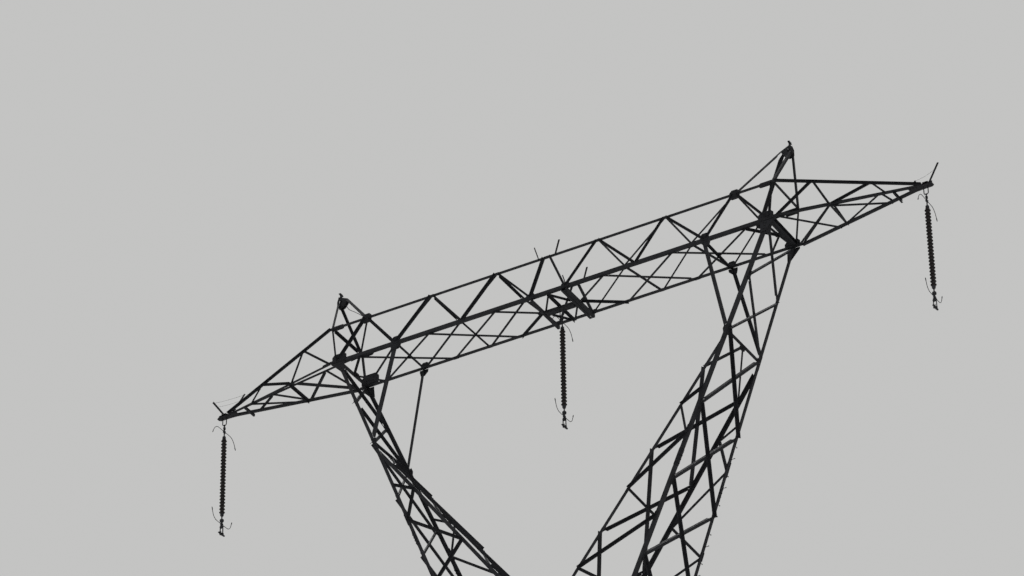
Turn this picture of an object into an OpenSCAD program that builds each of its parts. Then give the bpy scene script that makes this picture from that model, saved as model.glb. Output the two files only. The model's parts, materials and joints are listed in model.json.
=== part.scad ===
// Lattice transmission pylon with a delta-shaped window, two side arms and two earth-wire peaks.
// Millimetres, +Z up, origin on the ground under the middle of the tower.
// +X runs along the beam, Y runs along the line. "Near" is the -Y side, "right" is the +X side.

/* [Overall] */
// Height of the underside of the beam above ground
beam_z = 27000; // [26500:100:27500]
// Height of the waist, where the fork stands on the body
waist_z = 15000; // [14800:100:15200]
// Half the width of the square waist
waist_half = 1400; // [1370:10:1430]
// Half the width of the square base
base_half = 3450; // [3350:10:3550]

/* [Beam] */
// Height of the beam between its chords' outer edges
beam_h = 1130; // [1100:10:1160]
// Half the depth of the beam along the line
half_d = 725; // [705:5:745]
// Distance from the middle to the end node of the beam
end_x = 6500; // [6450:10:6550]
// Distance from the middle to the outer edge of the fork under the beam
fork_x = 6300; // [6270:10:6330]
// Distance from the middle to the inner strut under the beam
strut_x = 4510; // [4460:10:4560]
// Distance from the middle to the hanging point of a side arm
tip_x = 10260; // [10200:10:10320]

/* [Fork] */
// Drop from the beam to the knee of the fork
knee_dz = 2910; // [2870:10:2950]
// Drop from the beam to the crotch of the fork
crotch_dz = 9810; // [9770:10:9850]

/* [Peaks] */
// Height of an earth-wire clamp above the underside of the beam
peak_h = 2660; // [2630:10:2690]
// Distance from the middle to an earth-wire clamp
peak_x = 6660; // [6640:10:6680]

/* [Steel angles] */
// Leg width of the body's corner angles
leg_b = 150; // [140:10:160]
// Thickness of the body's corner angles
leg_t = 12; // [10:1:14]
// Leg width of the fork's outer corner angles
fork_b = 90; // [86:1:94]
// Thickness of the fork's outer corner angles
fork_t = 10; // [8:1:12]
// Leg width of the side arms' corner angles
arm_b = 66; // [62:1:70]
// Thickness of the side arms' corner angles
arm_t = 8; // [7:1:9]
// Thickness of the gusset plates
gus_t = 8; // [6:1:10]

/* [Feet] */
// Side of a base plate
foot_w = 450; // [430:10:480]
// Thickness of a base plate
foot_t = 25; // [20:1:30]
// Distance between anchor holes
foot_pitch = 330; // [320:10:340]
// Radius of an anchor hole
foot_r = 17; // [15:1:20]

/* [Insulator strings] */
// Number of sheds on a string's insulator
disc_n = 23; // [22:1:23]
// Distance from shed to shed
disc_pitch = 99.5; // [98:0.5:100]
// Radius of a shed
disc_r = 77; // [72:1:80]
// Radius of the conductor that a suspension clamp holds
wire_r = 16; // [14:1:16]

/* [Hidden] */

steel = [0.30, 0.31, 0.32];
steel_dark = [0.24, 0.25, 0.26];
disc_colour = [0.13, 0.09, 0.08];

// Gap between a chord's face and the lattice bolted on it
g = 0.5;
// Levels of the two bars of a crossed pair and of a gusset plate above the gap
ka = 1.1;
kc = 2.3;
kg = 0.6;
// Slopes: sideways of the fork's outer and inner chords, along the line of the fork, and of the body
fork_h = beam_z - waist_z;
so = (fork_x - waist_half) / fork_h;
sy = (waist_half - half_d) / fork_h;
knee_x = fork_x - so * knee_dz;
si = knee_x / (crotch_dz - knee_dz);
ss = (knee_x - strut_x) / knee_dz;
sb = (base_half - waist_half) / waist_z;
ko = sqrt(1 + so * so);
ki = sqrt(1 + si * si);
ky = sqrt(1 + sy * sy);
kb = sqrt(1 + sb * sb);
// Length of an arm's near face from the beam's end to the tip
arm_l = norm([tip_x - end_x, half_d]);
arm_a = [(tip_x - end_x) / arm_l, half_d / arm_l, 0];
// The strings are measured from a level up_dz above the beam's underside. Drops from there:
// bow of the U-bolt, pin under it, first shed, clamp
up_dz = 30;
bow_dz = 280;
pin_dz = 390;
disc_dz = 738;
clamp_dz = 3600;
// The middle string hangs a little lower
mid_dz = 43;
// Height of an arm's top chords above its bottom chords at the tip
tip_h = 80;
// Half the distance between the legs of a U-bolt
bolt_w = 58;

function unit(v) = v / norm(v);
// Points on the fork's edges at a drop dz below the beam
function on(dz) = [fork_x - so * dz, -(half_d + sy * dz), beam_z - dz];
function inn(dz) = [knee_x - si * (dz - knee_dz), -(half_d + sy * dz), beam_z - dz];
function strut(dz) = [strut_x + ss * dz, -(half_d + sy * dz), beam_z - dz];

// Angle bar whose heel runs from p1 to p2, with its two legs in the planes towards f1 and f2
module chord(p1, p2, f1, f2, b, t) {
    w = unit(p2 - p1);
    u1 = unit(f1 - (f1 * w) * w);
    u2 = unit(f2 - (f2 * w) * w);
    y = cross(w, u1);
    al = acos(u1 * u2);
    s = (y * u2) > 0 ? 1 : -1;
    k = t * (1 + cos(al)) / sin(al);
    multmatrix([[u1.x, y.x, w.x, p1.x], [u1.y, y.y, w.y, p1.y], [u1.z, y.z, w.z, p1.z], [0, 0, 0, 1]])
        linear_extrude(norm(p2 - p1))
            polygon([[0, 0], [b, 0], [b, s * t], [k, s * t],
                [b * cos(al) + t * sin(al), s * (b * sin(al) - t * cos(al))],
                [b * cos(al), s * b * sin(al)]]);
}

// Frame of a flat side: a is level, v runs up the side, and the third axis points outwards
module face(o, a, v) {
    n = cross(a, v);
    multmatrix([[a.x, v.x, n.x, o.x], [a.y, v.y, n.y, o.y], [a.z, v.z, n.z, o.z], [0, 0, 0, 1]]) children();
}

// Lattice bar on a flat side: leg one lies k above the side, leg two stands out on the edge that "side" picks.
// Bars that cross or meet have different k, so that none of their faces lie in one plane.
module bar(p, q, b = 60, t = 5, side = 1, k = 0) {
    l = norm(q - p);
    translate([p.x, p.y, g + k]) rotate([0, 0, atan2(q.y - p.y, q.x - p.x)])
        rotate([90, 0, 90]) linear_extrude(l)
            polygon([[-side * b / 2, 0], [side * b / 2, 0], [side * b / 2, b], [side * (b / 2 - t), b],
                [side * (b / 2 - t), t], [-side * b / 2, t]]);
}

// Lattice bar whose second leg points inwards and stops short of the chords by e at each end
module bar_in(p, q, b = 60, t = 5, side = 1, e = 150, f = 150, k = 0) {
    l = norm(q - p);
    translate([p.x, p.y, g + k]) rotate([0, 0, atan2(q.y - p.y, q.x - p.x)]) {
        translate([0, -b / 2, 0]) cube([l, b, t]);
        translate([e, side > 0 ? b / 2 - t : -b / 2, t - b]) cube([l - e - f, t, b]);
    }
}

// Crossed pair of bars
module cross_bars(p, q, r, s, b = 60, t = 5, e = 150) {
    bar(p, q, b, t, 1, ka);
    bar_in(r, s, b, t, -1, e, e, kc);
}

// Gusset plate with cut corners
module gusset(p, w, h, c = 50, rot = 0, t = gus_t) {
    translate([p.x, p.y, g + kg]) rotate([0, 0, rot]) linear_extrude(t)
        polygon([[-w / 2 + c, -h / 2], [w / 2 - c, -h / 2], [w / 2, -h / 2 + c], [w / 2, h / 2 - c],
            [w / 2 - c, h / 2], [-w / 2 + c, h / 2], [-w / 2, h / 2 - c], [-w / 2, -h / 2 + c]]);
}

module both_x() { children(); mirror([1, 0, 0]) children(); }
module both_y() { children(); mirror([0, 1, 0]) children(); }

// ---- body, from the ground to the waist ----
function w_at(z) = base_half - sb * z;

module body_leg() {
    color(steel) difference() {
        chord([w_at(-60), -w_at(-60), -60], [w_at(waist_z - 6), -w_at(waist_z - 6), waist_z - 6],
            [-1, 0, 0], [0, 1, 0], leg_b, leg_t);
        translate([base_half - 500, -base_half - 300, -500 + foot_t + g]) cube([800, 800, 500]);
    }
}
module body_leg_near_right() body_leg();
module body_leg_near_left() mirror([1, 0, 0]) body_leg();
module body_leg_far_right() mirror([0, 1, 0]) body_leg();
module body_leg_far_left() mirror([1, 0, 0]) mirror([0, 1, 0]) body_leg();

// Point on the bolt line of a leg in the plane of a body side, at height z
function lp(z, s = 1) = [s * (w_at(z) - 78), kb * z];
// Middle of a corner gusset of width w, which stays inside the corner
function lg(z, s, w) = [s * (w_at(z) - w / 2 - 26), kb * z];

module body_side() {
    lv = [3600, 6900, 9900, 12600, waist_z - 120];
    color(steel_dark) face([0, -base_half, 0], [1, 0, 0], [0, sb / kb, 1 / kb]) {
        // lowest panel: two main diagonals to the middle of the level bar, with short stiffening bars
        mid = [0, kb * lv[0]];
        bar(lp(lv[0], -1), lp(lv[0]), 90, 7, -1);
        for (s = [-1, 1]) {
            bar(lp(260, s), mid, 90, 7, s, s > 0 ? ka : kc);
            q1 = lp(260, s) + (mid - lp(260, s)) * 0.36;
            q2 = lp(260, s) + (mid - lp(260, s)) * 0.68;
            bar(q1, lp(1400, s), 60, 5, 1, 3.4);
            bar(lp(1470, s), q2 - [s * 20, 30], 60, 5, 1, 0.3);
            bar(q2 + [0, 10], lp(2650, s), 60, 5, 1, 3.4);
            bar(q2 - [s * 30, 0], [s * 1350, kb * lv[0] - 8], 60, 5, 1, 4.5);
            gusset(lg(1435, s, 116), 116, 260, 20);
            gusset(q2, 170, 170, 30, s * 45);
            gusset(lg(330, s, 300), 300, 420, 60);
            gusset(lg(lv[0], s, 300), 300, 420, 60);
        }
        gusset(mid, 620, 300, 90);
        // crossed panels above
        for (i = [0:3]) {
            b = i < 2 ? 80 : 70;
            cross_bars(lp(lv[i], -1), lp(lv[i + 1]), lp(lv[i]), lp(lv[i + 1], -1), b, 6, 260);
            f = w_at(lv[i]) / (w_at(lv[i]) + w_at(lv[i + 1]));
            zc = lv[i] + f * (lv[i + 1] - lv[i]);
            gusset([0, kb * zc], 220, 220, 40);
        }
        for (i = [1, 2, 3]) for (s = [-1, 1]) gusset(lg(lv[i], s, 200), 200, 360, 50);
        bar(lp(lv[2], -1), lp(lv[2]), 70, 6, -1);
        bar(lp(lv[4], -1), lp(lv[4]), 80, 7, -1);
        for (s = [-1, 1]) gusset([s * (w_at(lv[4]) - 118), kb * (lv[4] - 20)], 200, 230, 40);
    }
}
module body_face_near() body_side();
module body_face_right() rotate([0, 0, 90]) body_side();
module body_face_far() rotate([0, 0, 180]) body_side();
module body_face_left() rotate([0, 0, 270]) body_side();

module waist_diaphragm() {
    z = waist_z - 240;
    w = w_at(z) - 26;
    color(steel_dark) face([0, 0, z], [1, 0, 0], [0, 1, 0]) {
        for (a = [0, 90, 180, 270]) rotate([0, 0, a]) {
            bar([-w + 72, -w + 33], [w - 72, -w + 33], 60, 6, -1);
            bar([0, -w + 36], [w - 36, 0], 60, 6, 1, a % 180 == 0 ? ka : kc);
        }
    }
}

module foot_plates() {
    c = base_half - 45;
    color(steel) for (x = [-c, c]) for (y = [-c, c]) translate([x, y, 0]) difference() {
        translate([-foot_w / 2, -foot_w / 2, 0]) cube([foot_w, foot_w, foot_t]);
        for (i = [-1, 1]) for (j = [-1, 1])
            translate([i * foot_pitch / 2, j * foot_pitch / 2, -5]) cylinder(r = foot_r, h = foot_t + 10, $fn = 32);
    }
}

// ---- fork ----
// Region of the near plane that the fork's outer chord fills, with a small margin
module outer_band() {
    face([0, -half_d, beam_z], [1, 0, 0], [0, sy / ky, 1 / ky]) translate([0, 0, -300]) linear_extrude(400)
        polygon([[fork_x + 400, 0], [fork_x + 400, -ky * 5200], [fork_x - so * 5200 - fork_b * ko - 6, -ky * 5200],
            [fork_x - fork_b * ko - 6, 0]]);
}

// Space above the level where the fork's angles are cut off under the beam
module beam_band(d) {
    translate([strut_x - 500, -half_d - 300, beam_z - d]) cube([3000, 600, 400]);
}

module fork_strut(f) {
    difference() {
        chord(strut(-40), strut(knee_dz - 150), [f, 0, 0], [0, 1, 0], 80, 7);
        outer_band();
        beam_band(12);
    }
}
// f: which way the near strut's level leg points
module fork_chords(f) {
    color(steel) {
        fork_strut(f);
        mirror([0, 1, 0]) fork_strut(1);
    }
    color(steel) both_y() {
        difference() {
            chord(on(-40), on(fork_h - 6), [-1, 0, 0], [0, 1, 0], fork_b, fork_t);
            beam_band(3);
        }
        difference() {
            chord(inn(knee_dz + 300), inn(crotch_dz - 95), [1, 0, 0], [0, 1, 0], 90, 8);
            outer_band();
        }
    }
}
module right_fork_chords() fork_chords(-1);
module left_fork_chords() mirror([1, 0, 0]) fork_chords(1);

// Bolt lines of the fork's chords in the near plane, at a drop dz
function no(dz, d = 0) = [fork_x - so * dz - 50 + d, -ky * dz];
function ni(dz, d = 0) = [knee_x - si * (dz - knee_dz) + 56 + d, -ky * dz];

module fork_face_lacing() {
    n = knee_dz;
    color(steel_dark) both_y() face([0, -half_d, beam_z], [1, 0, 0], [0, sy / ky, 1 / ky]) {
        // zigzag below the knee
        bar(no(n + 1530), ni(n + 1850), 65, 5, -1);
        bar(ni(n + 1850), no(n + 2750), 65, 5, 1, ka);
        bar(no(n + 2750), ni(n + 3830), 70, 6, -1);
        bar(ni(n + 3830), no(n + 4870), 70, 6, 1, ka);
        bar(no(n + 4870), ni(n + 5700), 70, 6, -1);
        bar(ni(n + 5700), no(n + 6800), 70, 6, 1, ka);
        gusset(no(n + 2700), 115, 430, 20, -22);
        gusset(no(n + 4850), 115, 260, 20, -22);
        gusset(ni(n + 3830), 84, 230, 14, -36);
        gusset(ni(n + 5700), 84, 260, 14, -36);
        // knee plate
        translate([0, 0, g + kg]) linear_extrude(gus_t)
            polygon([[knee_x + so * 120, -ky * (n - 120)], [knee_x + so * 120 - fork_b * ko - 10, -ky * (n - 120)],
                [knee_x - 85, -ky * (n - 150)], [knee_x - 135, -ky * (n - 30)],
                [knee_x - si * 110 - 40, -ky * (n + 110)], [knee_x - si * 220, -ky * (n + 230)],
                [knee_x - so * 230, -ky * (n + 230)]]);
        // plates under the beam
        translate([0, 0, g + kg]) linear_extrude(gus_t)
            polygon([[fork_x + 130, -12], [fork_x + 130, -60], [fork_x - so * 330, -ky * 330],
                [fork_x - so * 330 - 110, -ky * 330], [fork_x - 230, -90], [fork_x - 230, -12]]);
        translate([0, 0, g + kg]) linear_extrude(gus_t)
            polygon([[strut_x - 100, -12], [strut_x - 90, -ky * 90], [strut_x + ss * 190 - 20, -ky * 190],
                [strut_x + ss * 190 + 90, -ky * 190], [strut_x + 160, -ky * 80], [strut_x + 160, -12]]);
    }
}
module right_fork_face_lacing() fork_face_lacing();
module left_fork_face_lacing() mirror([1, 0, 0]) fork_face_lacing();

// Bolt lines in the outer and inner sides; s = 1 near, -1 far
function po(dz, s = 1) = [-s * (half_d + sy * dz - 48), -ko * dz];
// Middle of a side gusset of width w, which stays inside the corner
function pg(dz, s, w) = [-s * (half_d + sy * dz - w / 2 - 16), -ko * dz];
function pi_(d, s = 1) = [s * (half_d + sy * (knee_dz + d) - 46), -ki * d];

module fork_side_lacing() {
    n = knee_dz;
    m = 1460;
    color(steel_dark) {
        face([fork_x, 0, beam_z], [0, 1, 0], [so / ko, 0, 1 / ko]) {
            cross_bars(po(n), po(m, -1), po(n, -1), po(m), 80, 6, 190);
            cross_bars(po(m), po(50, -1), po(m, -1), po(50), 80, 6, 190);
            lv = [n, n + 1950, n + 3910, n + 5850, n + 7450, fork_h - 60];
            for (i = [0:4]) cross_bars(po(lv[i]), po(lv[i + 1], -1), po(lv[i], -1), po(lv[i + 1]), 80, 6, 190);
            for (s = [-1, 1]) {
                gusset(pg(175, s, 200), 200, 290, 40);
                gusset(pg(n, s, 110), 110, 300, 30);
                gusset(pg(m, s, 115), 115, 240, 20);
                for (i = [1:4]) gusset(pg(lv[i], s, 115), 115, 260, 20);
            }
            bar(po(fork_h - 60), po(fork_h - 60, -1), 80, 7, 1);
        }
        face([knee_x, 0, beam_z - knee_dz], [0, -1, 0], [si / ki, 0, 1 / ki]) {
            lv = [915, 2860, 4800, 6750];
            for (i = [0:2]) cross_bars(pi_(lv[i]), pi_(lv[i + 1], -1), pi_(lv[i], -1), pi_(lv[i + 1]), 72, 5, 150);
            // level strut at the knee, with two braces from its middle
            w = half_d + sy * n - fork_b - 6;
            bar([-w, -ki * 38], [w, -ki * 38], 75, 6, 1);
            for (s = [-1, 1]) {
                bar([0, -ki * 60], pi_(915, s), 55, 5, s, s > 0 ? kc : ka);
                for (i = [0:3]) gusset(pi_(lv[i], s), 74, 220, 14);
            }
            gusset([0, -ki * 70], 260, 150, 40);
            bar(pi_(6750), pi_(6750, -1), 60, 5, 1);
        }
    }
}
module right_fork_side_lacing() fork_side_lacing();
module left_fork_side_lacing() mirror([1, 0, 0]) fork_side_lacing();

module throat_lacing() {
    c = crotch_dz;
    color(steel_dark) both_y() face([0, -half_d, beam_z], [1, 0, 0], [0, sy / ky, 1 / ky]) {
        l = no(c + 60);
        k = no(fork_h - 90);
        bar([-l.x, l.y], l, 80, 7, 1);
        bar([-k.x, k.y], k, 80, 7, 1);
        cross_bars([-l.x, l.y], k, l, [-k.x, k.y], 70, 6, 240);
        gusset([0, -ky * (c - 60)], 560, 420, 150);
        gusset([0, (l.y + k.y) / 2 - 60], 220, 220, 40);
        for (s = [-1, 1]) {
            gusset([s * (l.x - 15), l.y - 42], 170, 210, 30, s * -22);
            gusset([s * (k.x - 24), k.y + 26], 190, 200, 30);
        }
    }
}

// ---- beam ----
module bridge_top_chords() {
    color(steel) both_y()
        chord([-end_x + 6, -half_d, beam_z + beam_h], [end_x - 6, -half_d, beam_z + beam_h], [0, 0, -1], [0, 1, 0], 80, 7);
}
module bridge_bottom_chords() {
    color(steel) both_y()
        chord([-end_x + 6, -half_d, beam_z], [end_x - 6, -half_d, beam_z], [0, 0, 1], [0, 1, 0], 90, 8);
}

module bridge_side_lacing() {
    t = beam_h - 38;
    u = 46;
    color(steel_dark) both_y() face([0, -half_d, beam_z], [1, 0, 0], [0, 0, 1]) {
        for (s = [-1, 1]) {
            b = s > 0 ? 65 : 72;
            bar([s * (end_x - 50), t], [s * (fork_x + 30), u], 52, 5, -s);
            bar([s * 5430, t], [s * (fork_x - 40), u], b, 5, s, ka);
            bar([s * 5370, t], [s * (strut_x + 30), u], 52, 5, -s);
            bar([s * 3450, t], [s * (strut_x - 30), u], b, 5, s, ka);
            bar([s * 3390, t], [s * 2560, u], 52, 5, -s);
            bar([s * 1510, t], [s * 2500, u], b, 5, s, ka);
            bar([s * 1450, t], [s * 530, u], 52, 5, -s);
            bar([s * 80, t], [s * 490, u], b, 5, s, s > 0 ? ka : kc);
            gusset([s * (end_x - 215), t - 20], 390, 150, 40);
            gusset([s * 5400, t - 22], 290, 290, 70);
            gusset([s * (fork_x - 70), 130], 430, 250, 70);
            gusset([s * strut_x, 112], 250, 205, 60);
            gusset([s * 510, 70], 240, 140, 40);
            for (x = [3420, 1480]) gusset([s * x, t - 6], 150, 90, 20);
            gusset([s * 2530, u], 160, 88, 20);
        }
        gusset([0, t - 6], 200, 90, 20);
    }
    // the far left root has a larger plate
    color(steel_dark) mirror([0, 1, 0]) face([0, -half_d, beam_z], [1, 0, 0], [0, 0, 1])
        gusset([112 - fork_x, 215], 535, 400, 110);
}

module bridge_top_lacing() {
    y = half_d - 40;
    color(steel_dark) face([0, 0, beam_z + beam_h], [1, 0, 0], [0, 1, 0]) {
        xs = [45 - end_x, -5400, -3420, -1480, 1480, 3420, 5400, end_x - 45];
        for (i = [0:7]) bar_in([xs[i], -y], [xs[i], y], i % 7 == 0 ? 70 : 60, 5, i < 4 ? 1 : -1, 110, 110);
        // the diagonals all run the same way, and the middle is open
        for (i = [0, 1, 2, 4, 5, 6]) bar_in([xs[i], y], [xs[i + 1], -y], 50, 5, -1, 190, 190, i % 2 == 0 ? ka : kc);
    }
}

module bridge_bottom_lacing() {
    y = half_d - 45;
    xs = [1580, 3550, 5650];
    color(steel_dark) face([0, 0, beam_z], [1, 0, 0], [0, -1, 0]) for (s = [-1, 1]) {
        for (i = [0, 1]) {
            bar([s * xs[i], -y], [s * xs[i + 1], y], 60, 5, s, ka);
            bar_in([s * xs[i], y], [s * xs[i + 1], -y], 60, 5, -s, 150, 150, kc);
        }
        for (j = [-1, 1]) {
            bar([s * 575, 0], [s * xs[0], j * y], 60, 5, s * j, j < 0 ? kc : ka);
            bar([s * xs[2], j * y], [s * (fork_x - 60), 0], 60, 5, -s * j, j < 0 ? ka : kc);
            gusset([s * xs[1], j * y], 200, 86, 30);
            gusset([s * strut_x, j * y], 130, 86, 20);
        }
        bar([s * strut_x, -y], [s * strut_x, y], 60, 5, s);
        gusset([s * 640, 0], 130, 120, 20);
        gusset([s * (fork_x - 120), 0], 150, 160, 30);
    }
}

// Channel section along +Y from y0 to y1: web on the side x = 0, flanges towards +x
module channel(y0, y1, h, b, tw, tf) {
    translate([0, y1, 0]) rotate([90, 0, 0]) linear_extrude(y1 - y0)
        polygon([[0, 0], [b, 0], [b, tf], [tw, tf], [tw, h - tf], [b, h - tf], [b, h], [0, h]]);
}

// U-bolt hanging from z = 0, its bow's lowest centreline point at z = -d
module u_bolt(d, w = bolt_w, r = 13) {
    translate([0, 0, -d + w]) rotate([90, 0, 0]) rotate([0, 0, 180]) rotate_extrude(angle = 180, $fn = 48)
        translate([w, 0]) circle(r = r, $fn = 24);
    for (s = [-1, 1]) translate([s * w, 0, -d + w - 0.05]) cylinder(r = r, h = d - w + 45, $fn = 24);
}

module center_hanger_frame() {
    color(steel) translate([0, 0, beam_z]) {
        // transverse channels under the chords, one on the left and a pair on the right
        translate([-478, 0, -108]) mirror([1, 0, 0]) channel(-half_d - 20, half_d + 20, 100, 65, 8, 10);
        translate([396, 0, -108]) channel(-half_d - 20, half_d + 20, 100, 72, 8, 10);
        translate([552, 0, -108]) mirror([1, 0, 0]) channel(-half_d - 20, half_d + 20, 100, 72, 8, 10);
        // hanger beam: two channels side by side, closed by plates
        both_y() translate([-470, 88, -96]) rotate([0, 0, -90]) channel(0, 858, 67, 55, 7, 9);
        for (x = [-478.5, 387.5]) translate([x, -100, -100]) cube([9, 200, 86]);
        translate([-440, -91, -106]) cube([800, 182, 10.5]);
        translate([0, 0, -96]) u_bolt(bow_dz + mid_dz - up_dz - 96);
        for (s = [-1, 1]) translate([s * bolt_w, 0, -95.6]) cylinder(r = 22, h = 22, $fn = 6);
        // transverse strut and small diagonals to the beam's ends
        both_y() {
            translate([-35, 88.5, -28]) cube([70, half_d - 95, 7]);
            translate([-35, 88.5, -89]) cube([7, half_d - 95, 62]);
            for (s = [-1, 1]) hanger_brace([s * 20, half_d - 60], [s * 430, 60]);
        }
    }
}
module hanger_brace(p, q) {
    l = norm(q - p);
    translate([p.x, p.y, -28]) rotate([0, 0, atan2(q.y - p.y, q.x - p.x)]) {
        translate([0, -25, 0]) cube([l, 50, 6]);
        translate([60, -25, -40]) cube([l - 180, 6, 42]);
    }
}

module arm_root_beams() {
    // a slim channel on the left, a pair of heavy ones on the right
    color(steel) translate([60 - fork_x, 0, beam_z + 8.5]) mirror([1, 0, 0])
        channel(-half_d + 12, half_d - 12, 80, 50, 7, 8);
    color(steel) translate([fork_x - 60, 0, beam_z + 8.5]) {
        channel(-half_d + 12, half_d - 12, 160, 65, 8, 10);
        translate([70, 0, 0]) mirror([0, 0, 0]) channel(-half_d + 12, half_d - 12, 160, 65, 8, 10);
        for (y = [-560, -120, 320]) translate([7.5, y, 75]) cube([63, 240, 10]);
    }
}

// ---- side arms, drawn on the right ----
// Half-spaces that keep the converging angles of an arm apart: above and below the arm's middle line
module arm_cut(up) {
    h = up ? 1 : -1;
    face([end_x, -half_d, beam_z], arm_a, [0, 0, 1]) translate([0, 0, -900]) linear_extrude(1800)
        polygon([[1500, (beam_h - (beam_h - tip_h) * 1500 / arm_l) / 2 + h], [arm_l + 300,
            (tip_h - (beam_h - tip_h) * 300 / arm_l) / 2 + h], [arm_l + 300, h * -900], [1500, h * -900]]);
}

module arm_chords() {
    v = unit([tip_x - end_x, half_d, tip_h - beam_h]);
    // the level legs point outwards
    y = arm_t + 0.4 - half_d;
    color(steel) both_y() difference() {
        union() {
            difference() {
                chord([end_x, y, beam_z + beam_h] + 6 * v, [tip_x, y + half_d, beam_z + tip_h] - 112 * v,
                    [0, 0, -1], [0, -1, 0], arm_b, arm_t);
                arm_cut(true);
            }
            difference() {
                chord([end_x, y, beam_z] + 6 * arm_a, [tip_x, y + half_d, beam_z] - 120 * arm_a, [0, 0, 1], [0, -1, 0], arm_b, arm_t);
                arm_cut(false);
            }
        }
        translate([tip_x - 1500, -3, beam_z - 100]) cube([1700, 900, 900]);
        translate([end_x - 400, -half_d - 300, beam_z - 300]) cube([402, 2 * half_d, beam_h + 600]);
    }
}
module right_arm_chords() arm_chords();
module left_arm_chords() mirror([1, 0, 0]) arm_chords();

// Points on the bolt lines of an arm's near face at a distance x from the middle of the tower
function top_h(x) = tip_h + (beam_h - tip_h) * (tip_x - x) / (tip_x - end_x);
function at(x) = [(x - end_x) / arm_a.x, top_h(x) - 41];
function ab(x) = [(x - end_x) / arm_a.x, 41];

module arm_side_lacing() {
    color(steel_dark) both_y() face([end_x, -half_d, beam_z], arm_a, [0, 0, 1]) {
        bar(ab(end_x + 40), at(7430), 60, 5, 1);
        bar(at(7490), ab(7860), 60, 5, -1, ka);
        bar(ab(7920), at(8890), 60, 5, 1);
        bar(at(8950), ab(9270), 50, 5, -1, ka);
        gusset(at(7460), 170, 60, 20, -15);
        gusset(ab(7890), 200, 60, 20);
        gusset(at(8920), 150, 60, 20, -15);
        gusset(ab(end_x + 150), 250, 60, 20);
    }
}
module right_arm_side_lacing() arm_side_lacing();
module left_arm_side_lacing() mirror([1, 0, 0]) arm_side_lacing();

// Slope of an arm's top side
sl = (beam_h - tip_h) / (tip_x - end_x);
kt = sqrt(1 + sl * sl);
// Half the distance between an arm's chords, at x
function aw(x) = half_d * (tip_x - x) / (tip_x - end_x);

// The bars of the two arms are turned differently: h = 1 right, -1 left
module arm_plan_lacing(h) {
    color(steel_dark) {
        // bottom side: near is the positive second coordinate
        face([0, 0, beam_z], [1, 0, 0], [0, -1, 0]) {
            y1 = aw(7890) + 26;
            y2 = aw(7700) + 26;
            y3 = aw(6570) + 26;
            y4 = aw(9270) + 26;
            bar([7890, y1], [7890, -y1], h > 0 ? 60 : 72, 5, 1);
            if (h > 0) bar([6570, y3], [7700, -y2], 60, 5, 1, ka);
            bar_in([7850, y1], [fork_x + 150, -half_d + 50], 60, 5, h, 150, 150, kc);
            bar([7900, h * (y1 - 10)], [9270, -h * y4], 60, 5, 1, 3.4);
            gusset([7880, y1], 190, 60, 20, -10);
            gusset([7800, -y1 - 8], 300, 60, 20, 10);
        }
        // transverse channel under the chords
        translate([9470, 0, beam_z - 73]) channel(-aw(9500) - 70, aw(9500) + 110, 72, 50, 6, 7);
    }
}
module right_arm_plan_lacing() arm_plan_lacing(1);
module left_arm_plan_lacing() mirror([1, 0, 0]) arm_plan_lacing(-1);

module arm_tip_plates() {
    color(steel) both_x() translate([tip_x, 0, beam_z]) {
        // plate under the bottom chords, pointed outwards
        translate([0, 0, -13]) linear_extrude(12)
            polygon([[-430, -112], [-120, -88], [140, -88], [208, -46], [208, 46], [140, 88], [-120, 88], [-430, 112]]);
        // upright head plate between the angles, with its cap
        translate([-93, -6, -1.5]) cube([273, 12, 106]);
        translate([-70, -60, 84]) cube([150, 120, 10]);
        // stiffeners
        translate([-90, -80, -1.5]) cube([10, 160, 70]);
        translate([90, -80, -1.5]) cube([10, 160, 60]);
        translate([0, 0, -1]) u_bolt(bow_dz - up_dz - 1);
        for (s = [-1, 1]) translate([s * bolt_w, 0, -1.5]) cylinder(r = 22, h = 22, $fn = 6);
    }
}

// ---- earth-wire peaks, drawn on the right ----
module peak_legs() {
    z0 = beam_z + beam_h;
    zt = beam_z + 2360;
    color(steel) both_y() difference() {
        union() {
            a = [end_x - 10, -half_d + 12, z0];
            c = [5400, -half_d + 12, z0];
            e = [peak_x + 70, -60, zt];
            f = [peak_x - 250, -60, beam_z + 2430];
            chord(a - 80 * unit(e - a), e, [-1, 0, 0], [0, 1, 0], 70, 6);
            chord(c - 80 * unit(f - c), f, [1, 0, 0], [0, 1, 0], 70, 6);
        }
        translate([5000, -half_d - 200, z0 - 400]) cube([2000, 1000, 410]);
        translate([peak_x - 420, -56, zt - 700]) cube([820, 300, 900]);
    }
}
module right_peak_legs() peak_legs();
module left_peak_legs() mirror([1, 0, 0]) peak_legs();

// Clamp for a wire of radius r along Y through the origin
module wire_clamp(r, k) {
    difference() {
        union() {
            translate([-28 * k, 0, 0]) rotate([90, 0, 90]) linear_extrude(56 * k)
                polygon([[-130 * k, 0], [-130 * k, -22 * k], [-80 * k, -34 * k], [-30 * k, -40 * k], [30 * k, -40 * k],
                    [80 * k, -34 * k], [130 * k, -22 * k], [130 * k, 0], [90 * k, 0], [90 * k, 32 * k],
                    [-90 * k, 32 * k], [-90 * k, 0]]);
            for (y = [-60, 60]) translate([-22 * k, y * k - 12 * k, 31.8 * k]) cube([44 * k, 24 * k, 10 * k]);
        }
        translate([0, 150 * k, 0]) rotate([90, 0, 0]) cylinder(r = r, h = 300 * k, $fn = 40);
    }
}

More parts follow.
